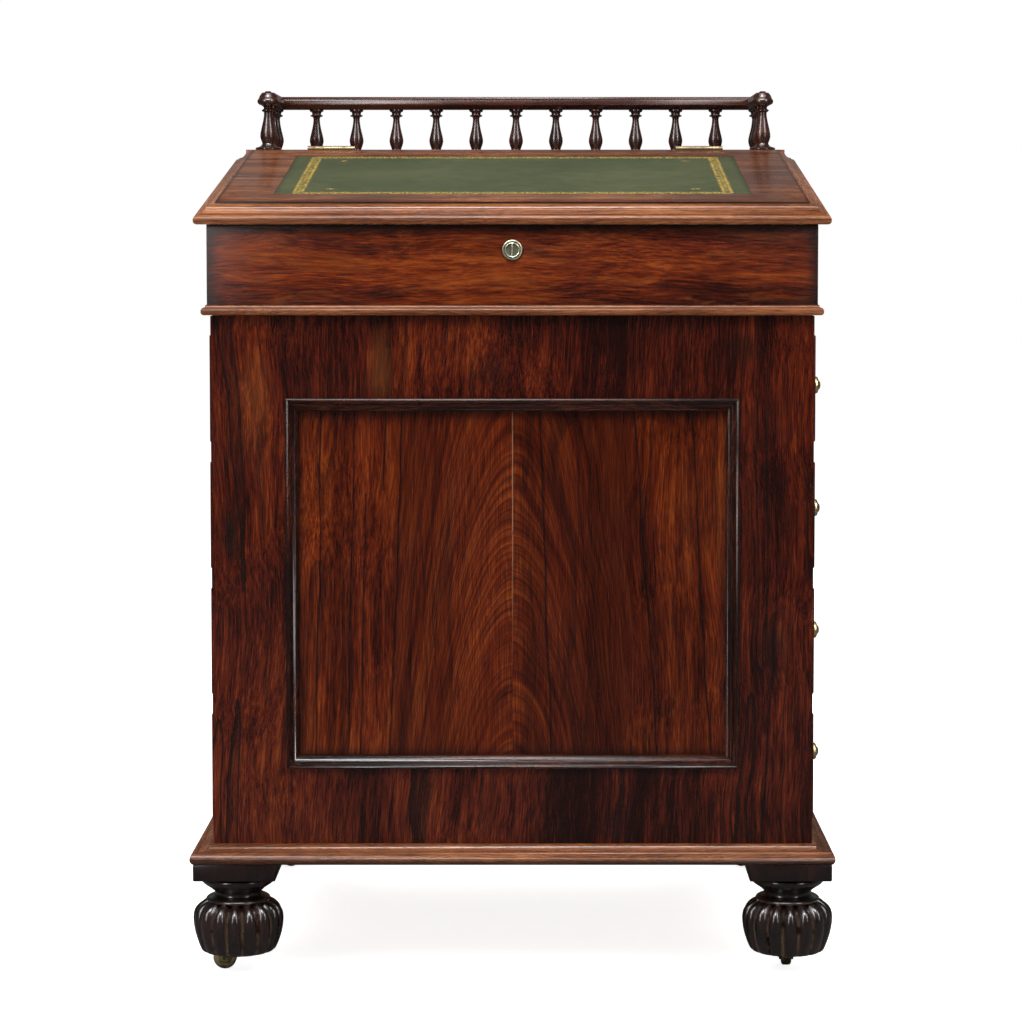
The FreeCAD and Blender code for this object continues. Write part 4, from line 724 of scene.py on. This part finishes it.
pattern = turned("baluster_pattern", BALUSTER, sides=28)
spots = [(POST_X * (number / 6 - 1), REAR_Y) for number in range(13)]
spots += [(POST_X * side, POST_Y + (REAR_Y - POST_Y) * share / 3) for side in (-1, 1) for share in (1, 2)]
balusters = [copied(pattern, f"baluster_{number}", (x, y, SHELF_TOP)) for number, (x, y) in enumerate(spots)]
bpy.data.objects.remove(pattern)
dressed(joined(balusters, "turned_balusters"), "desk_box", gallery_wood, ["gallery_balusters"])
post = turned("post_left", POST, (-POST_X, POST_Y, SHELF_TOP), 44)
posts = joined([post, copied(post, "post_right", (POST_X * 2, 0, 0))], "turned_posts")
dressed(posts, "desk_box", gallery_wood, ["gallery_posts"])
dressed(eased_moulding("gallery_rail", 0.6), "desk_box", rail_wood, ["gallery_rail"])


# ---------------------------------------------------------------- brass fittings
KNOB = ((3.7, 0), (4.5, 0.6), (4.4, 1.5), (3.5, 2.3), (3.1, 5.0), (3.6, 8.6), (5.8, 10.1), (8.2, 10.9), (9.0, 12.1),
        (8.9, 13.8), (8.1, 15.0), (6.0, 15.7), (4.7, 16.2), (4.2, 17.0), (3.2, 17.6), (1.2, 18.0))
QUARTER = math.pi / 2
for number in range(1, 5):
    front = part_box(f"drawer_{number}_knobs")
    height, start = (front[0].z + front[1].z) / 2, front[0].x
    knobs = [turned(f"knob_{number}_{side}", KNOB, (start, 147.5 * MM * side, height), 32, (0, QUARTER, 0))
             for side in (-1, 1)]
    dressed(joined(knobs, f"brass_knobs_{number}"), f"drawer_{number}", wheel_brass,
            [f"drawer_{number}_knobs"])

LOCK = ((8.0, -14.0), (8.0, 0.0), (10.5, 0.02), (10.5, 0.9), (10.2, 1.7), (9.5, 2.1), (8.7, 1.9), (8.3, 1.2),
        (8.0, 1.3), (7.7, 2.1), (7.1, 2.5), (6.5, 2.2), (6.2, 1.2), (3.0, 1.15), (0.9, 1.1))
lock_low, lock_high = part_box("lock")
lock_centre = (0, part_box("box_front_board")[0].y, lock_high.z - 16 * MM)
boss = turned("lock_boss", LOCK, lock_centre, 48, (QUARTER, 0, 0))
bpy.ops.object.select_all(action="DESELECT")
bpy.ops.mesh.primitive_cube_add(size=1, location=(0, lock_centre[1] - 1.6 * MM, lock_centre[2]))
cover = bpy.context.object
cover.scale = (1.7 * MM, 2.2 * MM, 13.4 * MM)
settle(cover, "keyhole_cover")
modified(cover, "BEVEL", width=0.6 * MM, segments=2, limit_method="ANGLE")
bpy.ops.object.select_all(action="DESELECT")
well_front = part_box("box_front_board")[1].y
bpy.ops.mesh.primitive_cube_add(size=1, location=(0, (well_front + lock_high.y) / 2, (lock_low.z + lock_high.z) / 2))
case = bpy.context.object
case.scale = (50 * MM, lock_high.y - well_front, lock_high.z - lock_low.z)
settle(case, "lock_case")
modified(case, "BEVEL", width=0.8 * MM, segments=2, limit_method="ANGLE")
lock = joined([boss, cover, case], "lock_and_case")
dressed(lock, "desk_box", [pale_brass, old_brass], ["lock"],
        lambda centre: 0 if centre.y < lock_centre[1] else 1)
for node, finish in (("hinge_leaves_box", hinge_brass), ("hinge_leaves_lid", hinge_brass),
                     ("castor_plates", old_brass)):
    recoat(node, finish)


# ---------------------------------------------------------------- mouldings and boards
def four_sided(node):
    """0 for lengths along X, 1 for lengths along Y, parted at the mitres of all four corners."""
    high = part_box(node)[1]
    return lambda centre: 0 if high.y - abs(centre.y) < high.x - abs(centre.x) else 1


def three_sided(node):
    """The same for a moulding on the front and both sides."""
    low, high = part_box(node)
    return lambda centre: 0 if centre.y - low.y < high.x - abs(centre.x) else 1


def upright_ring(node):
    """0 for lengths along X, 1 for lengths along Z, round a panel."""
    low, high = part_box(node)
    middle = (low.z + high.z) / 2
    return lambda centre: 0 if high.z - middle - abs(centre.z - middle) < high.x - abs(centre.x) else 1


dressed(eased_moulding("base_moulding", 0.6), "pedestal", [moulding_x, moulding_y], ["base_moulding"],
        four_sided("base_moulding"))
front_strip = eased_moulding("front_panel_moulding", 0.7)
back_strip = faced_about(front_strip, "front_panel_moulding", "back_panel_moulding")
for strip, node in ((back_strip, "back_panel_moulding"), (front_strip, "front_panel_moulding")):
    dressed(strip, "pedestal", [strip_x, strip_z], [node], upright_ring(node))
dressed(eased_moulding("box_bead", 0.4, merge=0.10), "desk_box", [bead_x, bead_y], ["box_bead"],
        three_sided("box_bead"))
dressed(eased_moulding("lid_moulding", 0.5), "lid", [bright_x, bright_y], ["lid_moulding"],
        three_sided("lid_moulding"))
for node, body, slot, finish, width in (
        ("foot_blocks", "pedestal", "dark_polished_wood", block_wood, 1.2),
        ("box_front_board", "desk_box", "rosewood", box_veneer, 0.5),
        ("box_side_boards", "desk_box", "rosewood", box_side_veneer, 0.5),
        ("box_back_board", "desk_box", "rosewood", box_back_veneer, 0.5),
        ("lid_board", "lid", "rosewood", lid_veneer, 0.6),
        ("shelf_board", "desk_box", "rosewood", shelf_veneer, 0.6),
        ("left_side_board", "pedestal", "rosewood", side_veneer, 0.4),
        ("dummy_drawer_fronts", "pedestal", "rosewood", drawer_veneer, 0.45),
        ("drawer_1_front", "drawer_1", "rosewood", drawer_veneer, 0.45),
        ("drawer_2_front", "drawer_2", "rosewood", drawer_veneer, 0.45),
        ("drawer_3_front", "drawer_3", "rosewood", drawer_veneer, 0.45),
        ("drawer_4_front", "drawer_4", "rosewood", drawer_veneer, 0.45)):
    dressed(eased(node, width, rimmed=finish is drawer_veneer), body, finish, [node])

LID_SLOPE = math.radians(9.4)
low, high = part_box("lid_leather")
recoat("lid_leather", gilt_leather("gilt_leather", (low + high) / 2, 246.5 * MM, 142.5 * MM, -LID_SLOPE))
for nodes, finish in ((("front_frame",), front_veneer), (("front_panel",), matched_veneer),
                      (("back_frame", "back_panel"), back_veneer), (("drawer_rails",), drawer_veneer),
                      (("bottom_board", "top_board", "box_bottom_board", "nest_case"), lining_x),
                      (("drawer_runners", "slide_bearers", "slide_guides"), lining_y),
                      (("small_drawer_1", "small_drawer_2", "small_drawer_3"), lining_x),
                      (tuple(f"drawer_{number}_box" for number in range(1, 5)), lining_x)):
    for node in nodes:
        recoat(node, finish)


# ---------------------------------------------------------------- floor, light and camera
def studio():
    """A white floor that keeps the shadow, a white world for the camera, dimmer for the desk."""
    bpy.ops.object.select_all(action="DESELECT")
    bpy.ops.mesh.primitive_circle_add(vertices=96, radius=14.0, fill_type="NGON")
    floor = bpy.context.object
    floor.name = "studio_floor"
    finish = Finish("white_floor")
    lit = finish.node("ShaderNodeBsdfDiffuse", None, {"Color": (0.84, 0.84, 0.84, 1.0)})
    glow = finish.node("ShaderNodeEmission", None, {"Color": (1.0, 1.0, 1.0, 1.0), "Strength": 0.86})
    both = finish.node("ShaderNodeAddShader", None, {0: lit, 1: glow})
    dim = finish.node("ShaderNodeBsdfDiffuse", None, {"Color": (0.09, 0.09, 0.09, 1.0)})
    mirrored = finish.node("ShaderNodeLightPath", output="Is Glossy Ray")
    unseen = finish.node("ShaderNodeMixShader", None, {0: mirrored, 1: lit, 2: dim})
    seen = finish.node("ShaderNodeLightPath", output="Is Camera Ray")
    end = finish.node("ShaderNodeMixShader", None, {0: seen, 1: unseen, 2: both})
    finish.show(end)
    floor.data.materials.append(finish.material)
    world = bpy.data.worlds.new("studio_light")
    bpy.context.scene.world = world
    world.use_nodes = True
    room = Finish("studio_room")    # only its node maker is wanted, for the world's own tree
    bpy.data.materials.remove(room.material)
    room.tree = world.node_tree
    room.tree.nodes.clear()
    camera_ray = room.node("ShaderNodeLightPath", output="Is Camera Ray")
    through = room.node("ShaderNodeLightPath", output="Is Transmission Ray")
    glossy = room.node("ShaderNodeLightPath", output="Is Glossy Ray")
    strength = (camera_ray + through) * 0.8 - glossy * 0.14 + 0.2
    glow = room.node("ShaderNodeBackground", None, {"Color": (1.0, 1.0, 1.0, 1.0), "Strength": strength})
    end = room.tree.nodes.new("ShaderNodeOutputWorld")
    room.tree.links.new(glow.socket, end.inputs["Surface"])


def lamp(name, place, aim, size, power, shines=True, lights=True):
    """An area light; one may show only in reflections, or be left out of them."""
    light = bpy.data.lights.new(name, "AREA")
    light.shape, light.size, light.size_y, light.energy = "RECTANGLE", size[0], size[1], power
    lamp_object = bpy.data.objects.new(name, light)
    bpy.context.scene.collection.objects.link(lamp_object)
    lamp_object.location = place
    lamp_object.rotation_euler = (Vector(aim) - Vector(place)).to_track_quat("-Z", "Y").to_euler()
    lamp_object.visible_glossy = shines
    lamp_object.visible_diffuse = lights


studio()
lamp("softbox_left", (-1.9, -2.0, 2.5), (0, 0, 0.45), (1.0, 1.7), 44)
lamp("softbox_right", (2.0, -1.8, 2.6), (0, 0, 0.45), (1.0, 1.7), 37)
lamp("key", (-0.2, -1.9, 3.3), (0, 0, 0.4), (1.8, 0.9), 108)
lamp("overhead", (0, -0.3, 2.9), (0, 0, 0.3), (2.0, 1.0), 34)
lamp("window_left", (-1.7, -2.3, 1.3), (0, 0, 0.45), (0.5, 1.9), 24, lights=False)
lamp("window_right", (1.8, -2.0, 1.3), (0, 0, 0.45), (0.4, 1.9), 14, lights=False)
lamp("far_wall", (0, 2.6, 1.7), (0, 0, 0.8), (3.4, 1.6), 2.7, lights=False)
lamp("rear_left", (-1.6, 2.8, 1.9), (0, 0, 0.5), (1.0, 1.2), 34, shines=False)
lamp("rear_right", (1.8, 2.6, 1.9), (0, 0, 0.5), (1.0, 1.2), 30, shines=False)

bpy.context.scene.view_settings.view_transform = "Standard"
eye = bpy.data.cameras.new("front_camera")
eye.lens, eye.sensor_width = 100.64, 36.0
eye.shift_x, eye.shift_y = -0.0249, -0.1109
camera = bpy.data.objects.new("front_camera", eye)
bpy.context.scene.collection.objects.link(camera)
camera.location = (0.0244, -3.1648, 0.7526)
camera.rotation_euler = (math.radians(90 - 3.2), 0, 0)
bpy.context.scene.camera = camera
